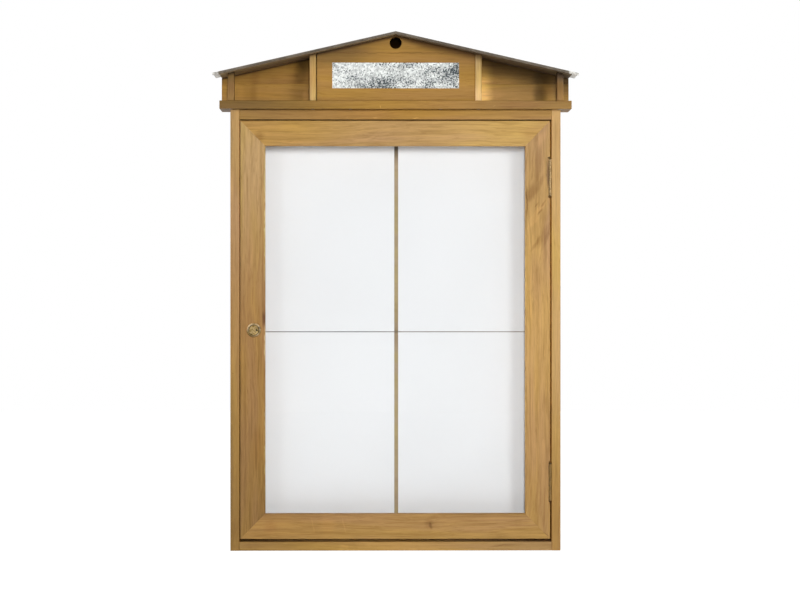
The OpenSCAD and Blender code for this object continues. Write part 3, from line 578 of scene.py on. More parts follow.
def add_marks(graph, tone, marks, exposed=1.0, bend=2.5):
    """Marks are (x, z, half width, half height, lean in degrees, tint, strength), in mm."""
    place = graph.coordinates()
    wander = graph.node("ShaderNodeTexNoise")
    wander.inputs["Scale"].default_value = 90
    wander.inputs["Detail"].default_value = 2.0
    graph.feed(wander.inputs["Vector"], place)
    moved = graph.vector("SUBTRACT", wander.outputs["Color"], (0.5, 0.5, 0.5))
    place = graph.vector("ADD", place, graph.vector("MULTIPLY", moved, (2 * bend * MM,) * 3))
    for x, z, half_x, half_z, lean, tint, strength in marks:
        spot = graph.node("ShaderNodeMapping", vector_type="TEXTURE")
        spot.inputs["Location"].default_value = (x * MM, 0, z * MM)
        spot.inputs["Rotation"].default_value = (0, math.radians(lean), 0)
        spot.inputs["Scale"].default_value = (half_x * MM, 1000, half_z * MM)
        graph.feed(spot.inputs["Vector"], place)
        share = graph.steps(graph.vector("LENGTH", spot.outputs[0]), 1.2, 0.3, 0.0, strength)
        share = graph.math("MULTIPLY", share, exposed)
        tone = graph.mix(share, tone, graph.tinted(tone, (*tint, 1)))
    return tone


def add_relief(graph, shader, height, depth, strength):
    """Bump from a height that changes over the surface."""
    bump = graph.node("ShaderNodeBump")
    bump.inputs["Distance"].default_value = depth
    bump.inputs["Strength"].default_value = strength
    graph.feed(bump.inputs["Height"], height)
    graph.feed(shader.inputs["Normal"], bump.outputs[0])


def board_material(
    name, node, grain, tones, seed, wear_and_highlight=0.3, marks=(), pith=(50, 80), rings=5.5, contrast=1.0,
    roof_shade=None, gap_light=None, corner=(5, 0.25),
):
    """Timber for one board. Its three tones are at the left or lower end, the middle and the far end.

    Pith, rings and the corner's width are in mm; the corner's other number is its painted shade.
    """
    material, graph, shader = new_material(name)
    place, size = put_in_space(graph, node, GRAIN_TURN[grain])
    half = (size.x if grain == "X" else size.z) / 2
    along = graph.split(place)["X"]
    base = graph.mix(graph.steps(along, -0.9 * half, 0.0), srgb(*tones[0]), srgb(*tones[1]))
    base = graph.mix(graph.steps(along, 0.0, 0.9 * half), base, srgb(*tones[2]))
    wood = graph.group(
        timber, Vector=place, Base=base, Seed=seed, Pith_Y=pith[0] * MM, Pith_Z=pith[1] * MM,
        Ring_Width=rings * MM, Contrast=contrast,
    )
    front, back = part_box(node)[0].y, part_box(node)[1].y
    tone = wood["Color"]
    if marks:
        tone = add_marks(graph, tone, marks, fades_between(graph, front + 2 * MM, front + 5 * MM))
    # Painted light on the faces in the gap round the door.
    if gap_light is not None:
        towards, foot_tint, head_tint = gap_light
        facing = graph.split(graph.coordinates("Normal"))["X"]
        gap_face = graph.steps(graph.math("MULTIPLY", facing, towards), 0.7, 0.95)
        rise = graph.steps(along, -0.4 * half, 0.4 * half)
        tint = graph.mix(rise, (*foot_tint, 1), (*head_tint, 1))
        tone = graph.mix(gap_face, tone, graph.tinted(tone, tint))
    # Painted shade under the roof, with painted contact shadow right under it.
    if roof_shade is not None:
        left, right, full, contact_shade = roof_shade
        dark = graph.group(
            painted_roof_shade, Color=tone, Left_Reach=left, Right_Reach=right, Full_Until=full, Dirt=contact_shade,
        )
        tone = graph.mix(fades_between(graph, back - 3 * MM, back - MM), tone, dark["Color"])
    # Paler edges, partly wear and partly painted highlight, and painted shade in the corners.
    worn_and_shaded = graph.group(
        wear_and_painted_shade, Color=tone, Rubbed=wear_and_highlight, Corner_Width=corner[0] * MM, Corner_Dark=corner[1],
    )
    graph.feed(shader.inputs["Base Color"], worn_and_shaded["Color"])
    polish = graph.math("MULTIPLY", worn_and_shaded["Edge"], 0.08)
    graph.feed(shader.inputs["Roughness"], graph.math("SUBTRACT", wood["Roughness"], polish))
    shader.inputs["Specular IOR Level"].default_value = 0.3
    add_relief(graph, shader, wood["Height"], 0.15 * MM, 0.35)
    return material


print("board material ready")

# %% [markdown]
# ## Boards with eased edges
#
# The solids are true but their edges are knife sharp, which no real board is. A copy of the solid is
# the best start, since every rebate, screw hole and mitre is already in place. Its loose triangles
# are merged and flat regions dissolved, and then each sharp edge that isn't part of a small hole is
# bevelled in two segments.

# %% Easing helper
WELD = 0.001 * MM
FLAT_UNDER = math.radians(0.5)
SHARP_OVER = math.radians(25)
SMOOTH_UNDER = math.radians(40)
SANDED = 0.35 * MM  # width of an eased edge on a board
HOLE_EDGE = 0.8 * MM  # the facets round small holes have edges shorter than this


def cad_bmesh(node):
    """A merged bmesh of one solid, with its flat regions as single faces."""
    bm = bmesh.new()
    bm.from_mesh(NODES[node].data)
    bmesh.ops.remove_doubles(bm, verts=bm.verts, dist=WELD)
    bmesh.ops.dissolve_limit(bm, angle_limit=FLAT_UNDER, verts=bm.verts, edges=bm.edges)
    return bm


def ease(bm, width, shortest=HOLE_EDGE):
    """Rounds over every sharp edge that is longer than shortest."""
    sharp = [
        edge for edge in bm.edges
        if edge.is_manifold and edge.calc_face_angle() > SHARP_OVER and edge.calc_length() > shortest
    ]
    bmesh.ops.bevel(
        bm, geom=sharp, offset=width, offset_type="OFFSET", affect="EDGES",
        segments=2, profile=0.5, material=-1, clamp_overlap=True,
    )


def finish_piece(bm, name, material, nodes):
    """Makes the piece, lets it ride with its nodes' body, and hides the nodes that it stands for."""
    mesh = bpy.data.meshes.new(name)
    bm.to_mesh(mesh)
    bm.free()
    mesh.materials.append(material)
    mesh.shade_smooth()
    mesh.set_sharp_from_angle(angle=SMOOTH_UNDER)
    piece = bpy.data.objects.new(name, mesh)
    scene.collection.objects.link(piece)
    even = piece.modifiers.new("even_shading", "WEIGHTED_NORMAL")
    even.keep_sharp = True
    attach(piece, NODES[nodes[0]]["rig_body"])
    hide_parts(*nodes)


def eased_piece(node, name, material, width=SANDED):
    """A copy of one solid with its edges eased, in place of that solid."""
    bm = cad_bmesh(node)
    ease(bm, width)
    finish_piece(bm, name, material, [node])


print(f"edges of boards are eased by {SANDED / MM} mm")

# %% [markdown]
# ## The marks on each board
#
# A painter would add these by hand on the finished board. A list is better here, because a mark can
# then be moved without painting again. The tints that come up often have names, and the others are
# written where they are used.

# %% Marks
# Darker tint for real stains and figure, and for painted shadows of the left end post on the gable.
STAIN_AND_PAINTED_SHADOW = (0.62, 0.54, 0.48)
SHADE = (0.80, 0.76, 0.74)
# Paler tint for lighter figure, and for painted light in the gable's bays and on a window chamfer.
PALE_FIGURE_AND_PAINTED_LIGHT = (1.16, 1.14, 1.16)
# Painted shadow of the posts and of the roof on the gable's back.
PAINTED_SHADOW = (0.30, 0.29, 0.22)
# Painted light beside the inner posts on the gable's back.
PAINTED_LIGHT = (1.30, 1.28, 1.30)
# Painted light: a strong pool of light beside the right inner post.
STRONG_PAINTED_LIGHT = (2.10, 2.25, 2.40)
# Painted deep shadow: in the hinges' mortises and behind the hole under the ridge.
PAINTED_DEEP_SHADOW = (0.12, 0.10, 0.08)
# Paler tint for real nicks, and for painted light on the right stile's window chamfer.
PALE_NICK_AND_PAINTED_LIGHT = (1.50, 1.60, 1.85)
# Painted light on the left stile's window chamfer.
PAINTED_CHAMFER_LIGHT = (1.80, 2.50, 3.80)
CRACK = (0.50, 0.42, 0.34)

MARKS = {
    "door_stile_left": [
        (-204, 17, 3.5, 14, 0, (0.50, 0.42, 0.44), 1.0),
        # Painted light along the window's chamfer, in these four marks.
        (-202.4, -20, 1.2, 36, 0, PAINTED_CHAMFER_LIGHT, 1.0),
        (-202.2, 160, 0.9, 130, 0, PAINTED_CHAMFER_LIGHT, 0.8),
        (-202.2, -180, 0.9, 110, 0, PAINTED_CHAMFER_LIGHT, 0.8),
        (-203, 196, 1.2, 40, 0, PALE_FIGURE_AND_PAINTED_LIGHT, 0.9),
        (-205, -293, 9, 16, 30, SHADE, 0.9),
        (-214, -180, 8, 40, 0, (0.93, 0.86, 0.84), 0.8),
        (-226, 120, 5, 60, 0, PALE_FIGURE_AND_PAINTED_LIGHT, 0.3),
        (-217, -60, 6, 30, 0, STAIN_AND_PAINTED_SHADOW, 0.25),
        (-214.8, 297.9, 16, 0.7, 45, CRACK, 0.6),
    ],
    "door_stile_right": [
        # Painted light on the window's chamfer.
        (201.4, 0, 1.0, 400, 0, PALE_NICK_AND_PAINTED_LIGHT, 1.0),
        # Painted shadow beside the upper hinge, and in the mortises at its ends and at the lower
        # hinge.
        (236.3, 243, 3.0, 26, 0, (0.52, 0.50, 0.62), 1.0),
        (238.4, 267.4, 2.2, 2.0, 0, PAINTED_DEEP_SHADOW, 1.0),
        (238.4, 207.0, 2.2, 2.0, 0, PAINTED_DEEP_SHADOW, 1.0),
        (239.4, -204.6, 1.8, 2.2, 0, PAINTED_DEEP_SHADOW, 1.0),
        (221, 252, 7, 36, 8, SHADE, 1.0),
        (213, 260, 2, 30, 4, STAIN_AND_PAINTED_SHADOW, 0.4),
        (211, 214, 8, 18, 20, STAIN_AND_PAINTED_SHADOW, 0.8),
        (224, 226, 4, 20, 24, STAIN_AND_PAINTED_SHADOW, 0.5),
        (222, 186, 4, 26, 38, PALE_FIGURE_AND_PAINTED_LIGHT, 1.0),
        (214, 168, 4, 16, 38, PALE_FIGURE_AND_PAINTED_LIGHT, 0.9),
        (229, 196, 2, 8, 35, STAIN_AND_PAINTED_SHADOW, 0.8),
        (224, 184, 1.5, 6, 35, STAIN_AND_PAINTED_SHADOW, 0.8),
        (219, 194, 1.5, 5, 35, STAIN_AND_PAINTED_SHADOW, 0.6),
        (229, 147, 7, 24, 28, SHADE, 1.0),
        (233, 140, 3, 18, 20, STAIN_AND_PAINTED_SHADOW, 0.5),
        (217, 133, 3, 16, 35, STAIN_AND_PAINTED_SHADOW, 0.5),
        (226, 296, 6, 16, 30, PALE_FIGURE_AND_PAINTED_LIGHT, 0.9),
        (204, 200, 1.2, 30, 0, CRACK, 0.9),
        (206, 162, 1.0, 16, 0, PALE_NICK_AND_PAINTED_LIGHT, 0.5),
        (208, 30, 3, 20, 0, PALE_FIGURE_AND_PAINTED_LIGHT, 0.5),
        (234.8, -317.5, 8, 0.7, 45, CRACK, 0.7),
    ],
    "door_rail_top": [
        (214, 305, 22, 14, 0, (0.90, 0.85, 0.86), 0.9),
        (-212, 300, 9, 12, 45, SHADE, 0.9),
        (-155, 291, 14, 1.5, 0, PALE_FIGURE_AND_PAINTED_LIGHT, 0.9),
        (-214.8, 297.9, 16, 0.7, 45, CRACK, 0.6),
    ],
    "door_rail_bottom": [
        (52, -300, 9, 9, 0, SHADE, 0.9),
        (54, -303, 3, 6, -20, STAIN_AND_PAINTED_SHADOW, 0.9),
        (-105, -303, 15, 16, -14, (1.10, 1.08, 1.04), 1.0),
        (-195, -305, 12, 12, 0, (0.92, 0.85, 0.85), 0.8),
        (-80, -303, 1.2, 15, -14, PALE_FIGURE_AND_PAINTED_LIGHT, 0.9),
        (-128, -303, 1.2, 15, -14, PALE_FIGURE_AND_PAINTED_LIGHT, 0.9),
        (234.8, -317.5, 8, 0.7, 45, CRACK, 0.7),
    ],
    "ledge": [
        (-24, 345, 0.9, 2.4, 0, PALE_NICK_AND_PAINTED_LIGHT, 1.0),
        (152, 346, 2.5, 1.0, -35, PALE_NICK_AND_PAINTED_LIGHT, 0.5),
        (60, 347, 30, 1.2, 3, STAIN_AND_PAINTED_SHADOW, 0.4),
        (195, 348, 45, 6, 0, (0.94, 0.88, 0.93), 0.8),
    ],
    "top_board": [
        (-32, 329, 5, 0.9, 4, PALE_NICK_AND_PAINTED_LIGHT, 0.9),
        (31, 329, 5, 0.9, -4, PALE_NICK_AND_PAINTED_LIGHT, 0.9),
        (-75, 330, 2, 1.2, 0, PALE_NICK_AND_PAINTED_LIGHT, 0.3),
        (200, 331, 40, 3, 3, STAIN_AND_PAINTED_SHADOW, 0.4),
    ],
    "bottom_board": [
        (-79, -335, 8, 2, 0, PALE_FIGURE_AND_PAINTED_LIGHT, 1.0),
        (-170, -331, 4, 1, 0, PALE_NICK_AND_PAINTED_LIGHT, 0.4),
        (165, -334, 25, 1.2, -6, STAIN_AND_PAINTED_SHADOW, 0.6),
        (-220, -335, 20, 5, 0, SHADE, 0.6),
    ],
    "side_left": [
        (-252, -67, 1.0, 1.0, 0, CRACK, 1.0),
        # Painted shade along the outer edge of the side.
        (-254.6, -200, 3.4, 170, 0, (0.74, 0.77, 0.86), 1.0),
        (-254.6, 290, 3.0, 60, 0, (0.74, 0.77, 0.86), 0.9),
        (-250, -310, 6, 20, 0, SHADE, 0.5),
    ],
    # Painted light and shade: pools of light beside the posts, and the posts' painted shadows.
    "gable_back_lower": [
        (132, 364, 21, 40, 0, STRONG_PAINTED_LIGHT, 1.0),
        (144, 362, 32, 30, 0, PAINTED_LIGHT, 0.9),
        (-190, 372, 40, 14, 0, PALE_FIGURE_AND_PAINTED_LIGHT, 0.5),
        (-140, 366, 7, 12, 0, PAINTED_LIGHT, 0.8),
        (-222, 368, 8, 24, 0, STAIN_AND_PAINTED_SHADOW, 0.35),
        (-241, 369, 8, 12, 0, PALE_FIGURE_AND_PAINTED_LIGHT, 0.6),
        (226, 366, 12, 24, 0, PAINTED_SHADOW, 0.75),
        (243, 370, 7, 16, 0, PALE_FIGURE_AND_PAINTED_LIGHT, 0.8),
    ],
    # Painted light and shade: shade behind the hole under the ridge, pools of light beside the posts,
    # and the posts' and the roof's painted shadows.
    "gable_back_upper": [
        (0, 440, 24, 24, 0, PAINTED_DEEP_SHADOW, 1.0),
        (132, 396, 21, 36, 0, STRONG_PAINTED_LIGHT, 1.0),
        (150, 386, 60, 14, 0, (1.5, 1.48, 1.45), 1.0),
        (-149, 404, 12, 30, 0, PAINTED_SHADOW, 0.45),
        (-143, 417, 13, 18, 0, PAINTED_SHADOW, 0.85),
        (-220, 396, 9, 20, 0, STAIN_AND_PAINTED_SHADOW, 0.35),
        (-175, 392, 16, 10, 0, PALE_FIGURE_AND_PAINTED_LIGHT, 0.5),
        (228, 392, 16, 20, 0, PAINTED_SHADOW, 0.6),
    ],
    "name_board": [
        (-3, 428.7, 130, 0.9, 0, CRACK, 0.5),
        (112, 385.7, 12, 0.5, 0, CRACK, 0.5),
        (20, 368, 60, 1.5, 0, PALE_FIGURE_AND_PAINTED_LIGHT, 0.3),
        # Painted shade from the roof over the board's upper left.
        (-92, 428, 66, 26, 0, (0.66, 0.68, 0.80), 1.0),
    ],
}
print(sum(len(marks) for marks in MARKS.values()), "marks")

# %% [markdown]
# ## Boards of the case, the gable and the door
#
# No two boards of one timber are the same colour, and the pale posts in the gable were cut from
# fresher stock. So each board takes its own three tones and its own seed, which moves it to another
# part of the log. One loop then makes them all.

# %% Boards
# Wood tones, from dark to pale
WOODS = {
    "bog": (118, 92, 50),
    "peat": (120, 100, 80),
    "umber": (132, 106, 54),
    "walnut": (140, 108, 60),
    "nut": (148, 112, 54),
    "bark": (150, 118, 64),
    "chestnut": (158, 122, 72),
    "olive": (158, 126, 86),
    "amber": (164, 126, 62),
    "honey": (165, 130, 77),
    "gold": (174, 138, 74),
    "rose": (176, 142, 98),
    "sand": (182, 152, 100),
    "straw": (189, 152, 94),
    "oat": (193, 159, 99),
    "biscuit": (198, 166, 108),
    "linen": (196, 168, 122),
    "cream": (226, 190, 140),
}
# Each board: its node, new name, grain, slot and seed, then its tones at the near end, the middle
# and the far end
BOARDS = [
    ("side_left", "left_side", "Z", "case_wood", 1.3, "walnut", "honey", "rose"),
    ("side_right", "right_side", "Z", "case_wood", 2.9, "chestnut", "oat", "oat"),
    ("top_board", "head_rail", "X", "case_wood", 4.1, "bark", "amber", "honey"),
    ("bottom_board", "foot_rail", "X", "case_wood", 5.7, "bark", "gold", "olive"),
    ("ledge", "ledge_board", "X", "case_wood", 6.3, "bog", "amber", "bark"),
    ("gable_back_lower", "lower_plank", "X", "gable_wood", 7.9, "amber", "honey", "gold"),
    # The upper plank's darker tones are partly painted shade from the roof.
    ("gable_back_upper", "upper_plank", "X", "gable_wood", 8.3, "nut", "nut", "bark"),
    ("name_board", "board_under_ridge", "X", "gable_wood", 9.1, "amber", "amber", "amber"),
    ("post_outer_left", "left_end_post", "Z", "gable_wood", 10.7, "bark", "walnut", "umber"),
    ("post_inner_left", "left_post", "Z", "pale_wood", 11.3, "biscuit", "straw", "sand"),
    ("post_inner_right", "right_post", "Z", "pale_wood", 12.1, "cream", "biscuit", "linen"),
    ("post_outer_right", "right_end_post", "Z", "gable_wood", 13.9, "chestnut", "walnut", "peat"),
    ("door_stop_upper", "upper_stop", "Z", "pale_wood", 14.3, "oat", "oat", "oat"),
    ("door_stop_lower", "lower_stop", "Z", "pale_wood", 15.7, "oat", "oat", "oat"),
    ("door_stile_left", "lock_stile", "Z", "door_wood", 16.1, "walnut", "chestnut", "sand"),
    ("door_stile_right", "hinge_stile", "Z", "door_wood", 17.9, "honey", "straw", "rose"),
    ("door_rail_top", "upper_rail", "X", "door_wood", 18.3, "gold", "rose", "oat"),
    ("door_rail_bottom", "lower_rail", "X", "door_wood", 19.7, "chestnut", "honey", "honey"),
    ("bead_left", "left_bead", "Z", "door_wood", 20.3, "straw", "straw", "straw"),
    ("bead_right", "right_bead", "Z", "door_wood", 21.1, "straw", "straw", "straw"),
    ("bead_top", "top_bead", "X", "door_wood", 22.9, "straw", "straw", "straw"),
    ("bead_bottom", "bottom_bead", "X", "door_wood", 23.3, "straw", "straw", "straw"),
]
TIGHT = {"side_left": 0.15 * MM, "door_stile_left": 0.18 * MM}  # crisper edges at the lock's gap
# Painted roof shade: how far it reaches on the left and the right in metres, the share of that reach
# that is in full shade, and the painted contact shadow right under the roof
PLANK_ROOF_SHADE = (0.004, 0.049, 0.10, 0.0)
POST_ROOF_SHADE = (0.030, 0.050, -0.8, 1.0)
# Painted light for the faces in the gap round the door: which way each face looks along X, and its
# tints at the foot and the head.
LEFT_GAP_LIGHT = (1.65, 1.30, 0.70), (2.30, 2.25, 2.20)
RIGHT_GAP_LIGHT = (1.60, 1.32, 0.75), (1.75, 1.48, 0.90)
PAINTED_GAP_LIGHT = {  # which way the raw face looks along X, and its tints at the foot and the head
    "side_left": (1, *LEFT_GAP_LIGHT), "door_stile_left": (-1, *LEFT_GAP_LIGHT),
    "side_right": (-1, *RIGHT_GAP_LIGHT), "door_stile_right": (1, *RIGHT_GAP_LIGHT),
}
for node, name, grain, slot, seed, *tones in BOARDS:
    on_door = slot == "door_wood"
    roof_shade = None
    if node.startswith("gable_back"):
        roof_shade = PLANK_ROOF_SHADE
    elif node.startswith(("name_board", "post")):
        roof_shade = POST_ROOF_SHADE
    wood = board_material(
        f"{name}_timber", node, grain, [WOODS[tone] for tone in tones], seed,
        # Door boards get paler edges: wear, and painted highlight on the window's chamfers.
        wear_and_highlight=0.6 if on_door else 0.3, marks=MARKS.get(node, ()),
        contrast=0.85 if on_door else 0.6, roof_shade=roof_shade, gap_light=PAINTED_GAP_LIGHT.get(node),
    )
    eased_piece(node, name, wood, width=TIGHT.get(node, SANDED))
print(len(BOARDS), "boards eased")

# %% [markdown]
# ## Plywood
#
# The back panel and the roof's underlay are plywood. A peeled veneer has a wide, wandering grain and
# little contrast, so the timber group serves with a far pith and broad rings. The panel is painted
# dark in the thin gaps between the sheets and under the top rail: this is painted shade. The two
# underlays differ in tone as painted light and shade.

# %% Plywood pieces
# Painted shade on the back panel: under the top rail, and in the gaps between the sheets.
PAINTED_GAP_SHADE = [
    (0, 300, 30, 40, 0, (0.25, 0.22, 0.18), 1.0),
    (0, 10, 12, 40, 0, SHADE, 0.6),
    (-105, -3, 130, 4, 0, (0.06, 0.06, 0.07), 1.0),
    (105, -3, 120, 4, 0, (0.45, 0.45, 0.50), 0.9),
]
PLYWOOD = [
    # The back panel's strong corner darkening is painted shade in the gaps.
    ("back_panel", "ply_back", (168, 150, 116), PAINTED_GAP_SHADE, (3, 1.0)),
    # The left underlay is paler as painted light, since its underside faces the key lamp; the right is
    # painted darker as painted shade.
    ("roof_board_left", "left_underlay", (138, 120, 92), (), (5, 0.25)),
    ("roof_board_right", "right_underlay", (112, 98, 78), (), (5, 0.25)),
]
for node, name, veneer_tone, gap_shade, corner in PLYWOOD:
    veneer = board_material(
        f"{name}_veneer", node, "X", (veneer_tone,) * 3, seed=3.3, wear_and_highlight=0.2, marks=gap_shade,
        pith=(300, 20), rings=14, contrast=0.5, corner=corner,
    )
    eased_piece(node, name, veneer, width=0.2 * MM)
print(len(PLYWOOD), "plywood pieces")

# %% [markdown]
# ## Galvanised steel
#
# Zinc freezes on steel in crystals, called spangle: each crystal leans its own way and so has its
# own brightness. Voronoi cells give the crystals, and finer noise the dark flecks where the zinc has
# dulled. A slow noise gathers the flecks in clouds.

# %% Zinc group and materials
spangle, g, given, result = new_group(
    "spangle",
    inputs=[
        ("Vector", VECTOR, None),
        ("Bright", COLOUR, grey(0.7)),
        ("Dull", COLOUR, grey(0.1)),
        ("Crystals", NUMBER, 400.0),
        ("Flecks", NUMBER, 0.5),
    ],
    outputs=[("Color", COLOUR), ("Roughness", NUMBER), ("Height", NUMBER)],
)
crystal = g.node("ShaderNodeTexVoronoi")
g.feed(crystal.inputs["Vector"], given["Vector"])
g.feed(crystal.inputs["Scale"], given["Crystals"])
lean = g.split(crystal.outputs["Color"])[0]
cloud = g.noise(given["Vector"], (18, 18, 40), detail=2.0)
speck = g.noise(given["Vector"], (440, 440, 440), detail=2.0, roughness=0.6)
fleck_level = g.math("ADD", speck, g.math("MULTIPLY", cloud, 0.60))
fleck = g.math("MULTIPLY", g.steps(fleck_level, 0.80, 0.95), given["Flecks"])
tone = g.mix(g.steps(lean, 0.0, 0.9, 0.40, 0.0), given["Bright"], given["Dull"])
tone = g.mix(g.steps(cloud, 0.44, 0.66, 0.0, 0.30), tone, given["Dull"])
tone = g.mix(fleck, tone, given["Dull"])
g.feed(result["Color"], tone)
sheen = g.math("ADD", g.math("MULTIPLY", lean, 0.15), 0.32)
g.feed(result["Roughness"], g.math("ADD", sheen, g.math("MULTIPLY", fleck, 0.25)))
g.feed(result["Height"], g.math("SUBTRACT", lean, fleck))


def zinc_material(
    name, node, bright, dull, crystals, flecks, metal=0.6, pale_ends=None, pale_end_tone=None,
):
    """Galvanised steel. Outside the two places along X given in mm it is paler: painted light on the
    roof.
    """
    material, graph, shader = new_material(name)
    place, _ = put_in_space(graph, node)
    bright_tone = srgb(*bright)
    if pale_ends is not None:
        left, right = pale_ends
        sideways = graph.split(place)["X"]
        at_left = graph.steps(sideways, (left + 1) * MM, (left - 1) * MM)
        at_right = graph.steps(sideways, (right - 1) * MM, (right + 1) * MM)
        at_end = graph.math("MAXIMUM", at_left, at_right)
        bright_tone = graph.mix(at_end, bright_tone, srgb(*pale_end_tone))
    skin = graph.group(
        spangle, Vector=place, Bright=bright_tone, Dull=srgb(*dull), Crystals=crystals,
        Flecks=flecks,
    )
    graph.feed(shader.inputs["Base Color"], skin["Color"])
    graph.feed(shader.inputs["Roughness"], skin["Roughness"])
    shader.inputs["Metallic"].default_value = metal
    add_relief(graph, shader, skin["Height"], 0.05 * MM, 0.4)
    return material


plate_zinc = zinc_material(
    "plate_zinc", "name_plate", (243, 246, 243), (60, 70, 74), crystals=360.0, flecks=1.0,
    metal=0.12, pale_ends=(-96.5, 96.5), pale_end_tone=(255, 251, 240),
)
# The roof sheet's pale ends are painted light.
roof_zinc = zinc_material(
    "roof_zinc", "roof_sheet", (112, 102, 88), (70, 60, 48), crystals=90.0, flecks=0.3,
    metal=0.2, pale_ends=(-273, 267), pale_end_tone=(236, 234, 226),
)
plain_zinc = zinc_material(
    "plain_zinc", "name_plate", (200, 202, 200), (130, 130, 126), crystals=900.0, flecks=0.4,
)
print("spangle group has", len(spangle.nodes), "nodes")

# %% [markdown]
# ## Plate and roof
#
# Both are sheared from thin sheet, so their edges are only just broken: a very small bevel gives the
# bright line that such an edge has. The plate under the ridge is bare and a little paler along its two
# cut ends. The roof sheet is grey and weathered, and the last centimetre or so at each end, which
# hangs free of the boards, is painted pale, as painted light.

# %% Plate and roof sheet
for node, name, metal, width in (
    ("name_plate", "bare_plate", plate_zinc, 0.12 * MM),
    ("roof_sheet", "roof_metal", roof_zinc, 0.15 * MM),
):
    eased_piece(node, name, metal, width=width)

# %% [markdown]
# ## Sheets behind the pane
#
# Four plain white cards lie flat on the back panel. They are matt and not quite even in tone, as
# paper is. Card is dense enough that no light comes through it, so a matt white with a faint mottle
# does, and nothing has to glow. Their cut edges are eased by only a hair.

# %% Cards
card_white, graph, shader = new_material("card_white")
place = graph.coordinates()
mottle = graph.noise(place, (900, 900, 900), detail=2.0)
drift = graph.noise(place, (6, 6, 6), detail=1.0)
level = graph.math("ADD", graph.math("MULTIPLY", mottle, 0.3), drift)
tone = graph.mix(graph.steps(level, 0.3, 1.0), srgb(237, 237, 240), srgb(241, 241, 244))
graph.feed(shader.inputs["Base Color"], tone)
graph.feed(shader.inputs["Roughness"], graph.steps(mottle, 0.2, 0.8, 0.75, 0.85))
shader.inputs["Specular IOR Level"].default_value = 0.2

CARDS = ["sheet_top_left", "sheet_top_right", "sheet_bottom_left", "sheet_bottom_right"]
for node in CARDS:
    eased_piece(node, node.replace("sheet", "card"), card_white, width=0.15 * MM)
print(len(CARDS), "cards")

# %% [markdown]
# ## The pane
#
# Clear glass needs two things here. Rays that are seen are bent and mirrored by a Principled shader
# with full transmission. Lamps' rays and soft light must reach the cards as they do through real
# glass, so those kinds of ray meet a Transparent shader instead.

# %% Glass
pane_glass, graph, shader = new_material("pane_glass")
shader.inputs["Base Color"].default_value = (0.97, 0.99, 0.98, 1)
shader.inputs["Roughness"].default_value = 0.0
shader.inputs["IOR"].default_value = 1.5
shader.inputs["Transmission Weight"].default_value = 1.0
clear = graph.node("ShaderNodeBsdfTransparent")
path = graph.node("ShaderNodeLightPath").outputs
choice = graph.node("ShaderNodeMixShader")
graph.feed(choice.inputs[0], graph.math("MAXIMUM", path["Is Shadow Ray"], path["Is Diffuse Ray"]))
graph.feed(choice.inputs[1], shader.outputs[0])
graph.feed(choice.inputs[2], clear.outputs[0])
graph.feed(pane_glass.node_tree.nodes["Material Output"].inputs["Surface"], choice.outputs[0])
eased_piece("door_glass", "pane_of_glass", pane_glass, width=0.3 * MM)

# %% [markdown]
# ## Brass
#
# Outdoors, brass goes from gold to a browner, greener tone, unevenly. Fine noise breaks up its
# gloss, slow noise its colour, and the edges, paler with wear and partly painted highlight, stay
# bright. Painted shade sits in the fittings' corners. The seam round the lock's plug is darkened, and
# the inside of its keyhole is painted dark as painted shade. Painted shade also darkens parts of the
# lock's ring, most at its lower left, and the hinges beside and at the ends of their mortises. The
# lock's flange also has its outer slope laid over, by moving rings of corners in and out.

# %% Brass material and fittings
flange_low, flange_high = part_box("lock_body")
LOCK_AXIS = (flange_low + flange_high) / 2
SEAM_RADIUS = 7.9 * MM  # where the plug meets the flange
# Darker tone along the seam round the plug, and painted shade inside the keyhole.
SEAM_DARK_TONE = srgb(72, 50, 18)
KEYHOLE_PAINTED_SHADE = srgb(40, 26, 8)
FILED = 0.15 * MM  # width of an eased edge on a fitting
FILED_FLANGE = 0.12 * MM


def brass_material(
    name, bright, tarnished, tarnish, roughness, metal=0.6, patches=420, marks=(), seam=0.0,
    dark_past=None,
):
    """Brass, from bright to tarnished by up to a share, in so many patches to the metre.

    The seam round the plug is darkened by a share, and all beyond dark_past along Y is painted shade.
    """
    material, graph, shader = new_material(name)
    place = graph.coordinates()
    slow = graph.noise(place, (patches,) * 3, detail=2.0)
    fine = graph.noise(place, (1100, 1100, 1100), detail=2.0)
    tone = graph.mix(graph.steps(slow, 0.38, 0.62, 0.0, tarnish), srgb(*bright), srgb(*tarnished))
    tone = graph.mix(graph.steps(fine, 0.55, 0.75, 0.0, 0.3 * tarnish), tone, srgb(*tarnished))
    # Paler edges, partly wear and partly painted highlight, and painted shade in the corners.
    worn_and_shaded = graph.group(
        wear_and_painted_shade, Color=tone, Edge_Width=0.3 * MM, Corner_Width=1.5 * MM, Corner_Dark=0.8,
    )
    tone = add_marks(graph, worn_and_shaded["Color"], marks, bend=0.5)
    if seam > 0:
        across = graph.vector("MULTIPLY", graph.vector("SUBTRACT", place, LOCK_AXIS), (1, 0, 1))
        off_seam = graph.math("SUBTRACT", graph.vector("LENGTH", across), SEAM_RADIUS)
        near_seam = graph.steps(graph.math("ABSOLUTE", off_seam), 0.9 * MM, 0.4 * MM, 0.0, seam)
        tone = graph.mix(near_seam, tone, SEAM_DARK_TONE)
    if dark_past is not None:
        inside = graph.steps(graph.split(place)["Y"], dark_past, dark_past + 0.8 * MM)
        tone = graph.mix(inside, tone, KEYHOLE_PAINTED_SHADE)
    graph.feed(shader.inputs["Base Color"], tone)
    graph.feed(shader.inputs["Roughness"], graph.steps(fine, 0.3, 0.7, roughness, roughness + 0.15))
    shader.inputs["Metallic"].default_value = metal
    add_relief(graph, shader, slow, 0.03 * MM, 0.3)
    return material


